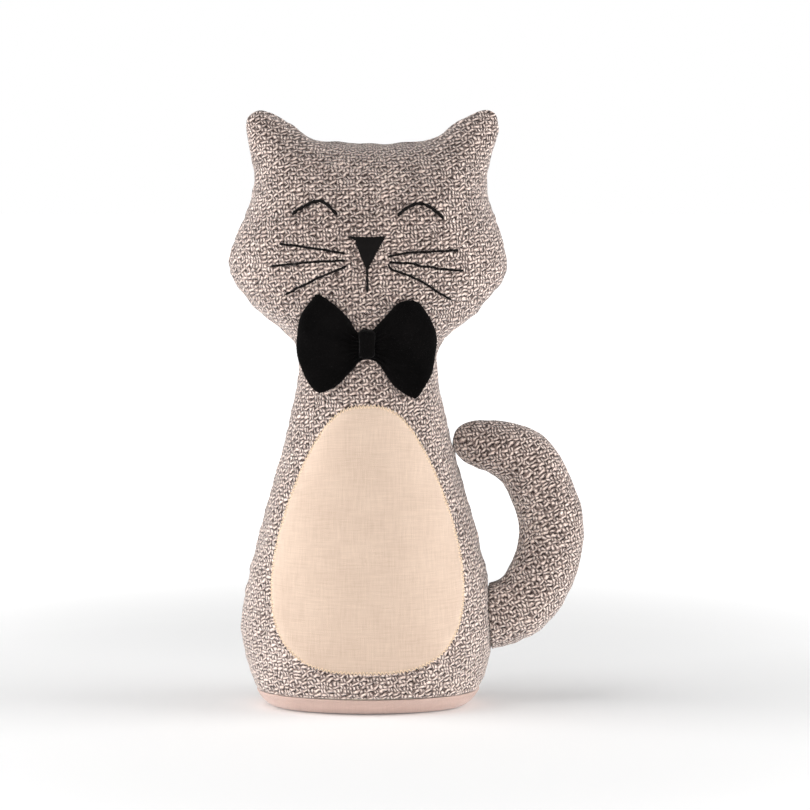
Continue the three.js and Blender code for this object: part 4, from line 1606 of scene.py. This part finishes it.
@dataclass(frozen=True)
class Lamp:
    """One soft lamp that faces the middle of the door stop. Its height is a share of its side."""

    name: str
    place: tuple[float, float, float]
    side: float
    watts: float
    share: float = 1.0

    def hang(self) -> None:
        """Hangs the lamp where the camera doesn't see it."""
        data = bpy.data.lights.new(self.name, "AREA")
        data.shape = "RECTANGLE"
        data.size, data.size_y = self.side, self.side * self.share
        data.energy = self.watts
        lamp = put(self.name, data)
        lamp.location = self.place
        lamp.rotation_euler = (Vector((0, 0, 0.15)) - lamp.location).to_track_quat("-Z", "Y").to_euler()
        lamp.visible_camera = False


@dataclass
class Studio:
    """A pale floor, soft light and the photograph's camera."""

    picture_width: float = 405 * MM
    picture_middle: tuple[float, float] = (18.5 * MM, 150.5 * MM)
    distance: float = 1.7
    camera_height: float = 0.28
    sensor: float = 36.0
    floor_reach: float = 12.0
    floor_grey: Colour = (0.88, 0.88, 0.88)
    shadow_fade: tuple[float, float] = (0.22, 0.95)
    sky_strength: float = 0.27
    lamps: tuple[Lamp, ...] = (
        Lamp("key", (-0.45, -0.55, 1.65), 0.8, 5.5),
        Lamp("left_wall", (-1.1, -0.1, 0.2), 0.9, 21.5),
        Lamp("right_wall", (1.1, -0.14, 0.2), 0.9, 20.5),
        Lamp("low_fill", (-0.05, -0.9, 0.05), 1.2, 4.5, 0.07),
    )

    def camera(self) -> None:
        """Sets the camera at the photograph's place and view."""
        data = bpy.data.cameras.new("camera")
        data.sensor_width = self.sensor
        camera = put("camera", data)
        x, z = self.picture_middle
        camera.location = (x, -self.distance, self.camera_height)
        way = Vector((x, 0.0, z)) - camera.location
        data.lens = self.sensor * way.length / self.picture_width
        camera.rotation_euler = way.to_track_quat("-Z", "Y").to_euler()
        bpy.context.scene.camera = camera

    def floor(self) -> None:
        """Lays the floor, which shows white but keeps the object's shadow."""
        far = self.floor_reach
        data = bpy.data.meshes.new("floor")
        data.from_pydata([(-far, -far, 0), (far, -far, 0), (far, far, 0), (-far, far, 0)], [], [(0, 1, 2, 3)])
        put("floor", data)
        graph = Graph("floor")
        x, y, _ = graph.split(graph.place())
        glow = graph.seen() * ((x * x + y * y).root().step(*self.shadow_fade) * 0.9 + 0.07)
        graph.feed(graph.surface.inputs["Emission Color"], graph.join(glow, glow, glow))
        material = graph.finish(self.floor_grey, 0.9, specular_ior_level=0.0, emission_strength=1.0)
        data.materials.append(material)

    def sky(self) -> None:
        """An even light from all round, seen as white."""
        world = bpy.context.scene.world = bpy.data.worlds.new("studio")
        world.use_nodes = True
        tree = Tree(world.node_tree)
        nodes = tree.tree.nodes
        ground = nodes["Background"]
        tree.feed(ground.inputs["Color"], (1, 1, 1))
        tree.feed(ground.inputs["Strength"], self.sky_strength)
        white = tree.out("ShaderNodeBackground", {"Color": (1, 1, 1), "Strength": 1.0})
        mix = tree.out("ShaderNodeMixShader", [tree.seen(), ground.outputs[0], white])
        tree.feed(nodes["World Output"].inputs["Surface"], mix)

    def build(self) -> None:
        """Sets up the whole studio."""
        self.camera()
        self.floor()
        self.sky()
        for lamp in self.lamps:
            lamp.hang()
        bpy.context.scene.view_settings.view_transform = "Standard"


def main() -> None:
    """Builds and dresses every sub-assembly."""
    logging.basicConfig(level=logging.INFO, format="%(name)s: %(message)s")
    wardrobe = Wardrobe.sewn()
    Studio().build()
    cover = Cover(wardrobe)
    body = cover.stuff()
    flank = cover.half_width(Tail.tip_height) + 0.3 * MM
    tail = Tail(wardrobe, body, cover.half_width(Tail.root_height), flank)
    needle = Needle(cover.build(tail.root()), CordRecipe(), wardrobe)
    tail.build()
    BellyPatch(needle).build()
    Face(needle).build()
    BowTie(wardrobe, PileRecipe()).build()
    Stuffing(wardrobe).build()


if __name__ == "__main__":
    main()
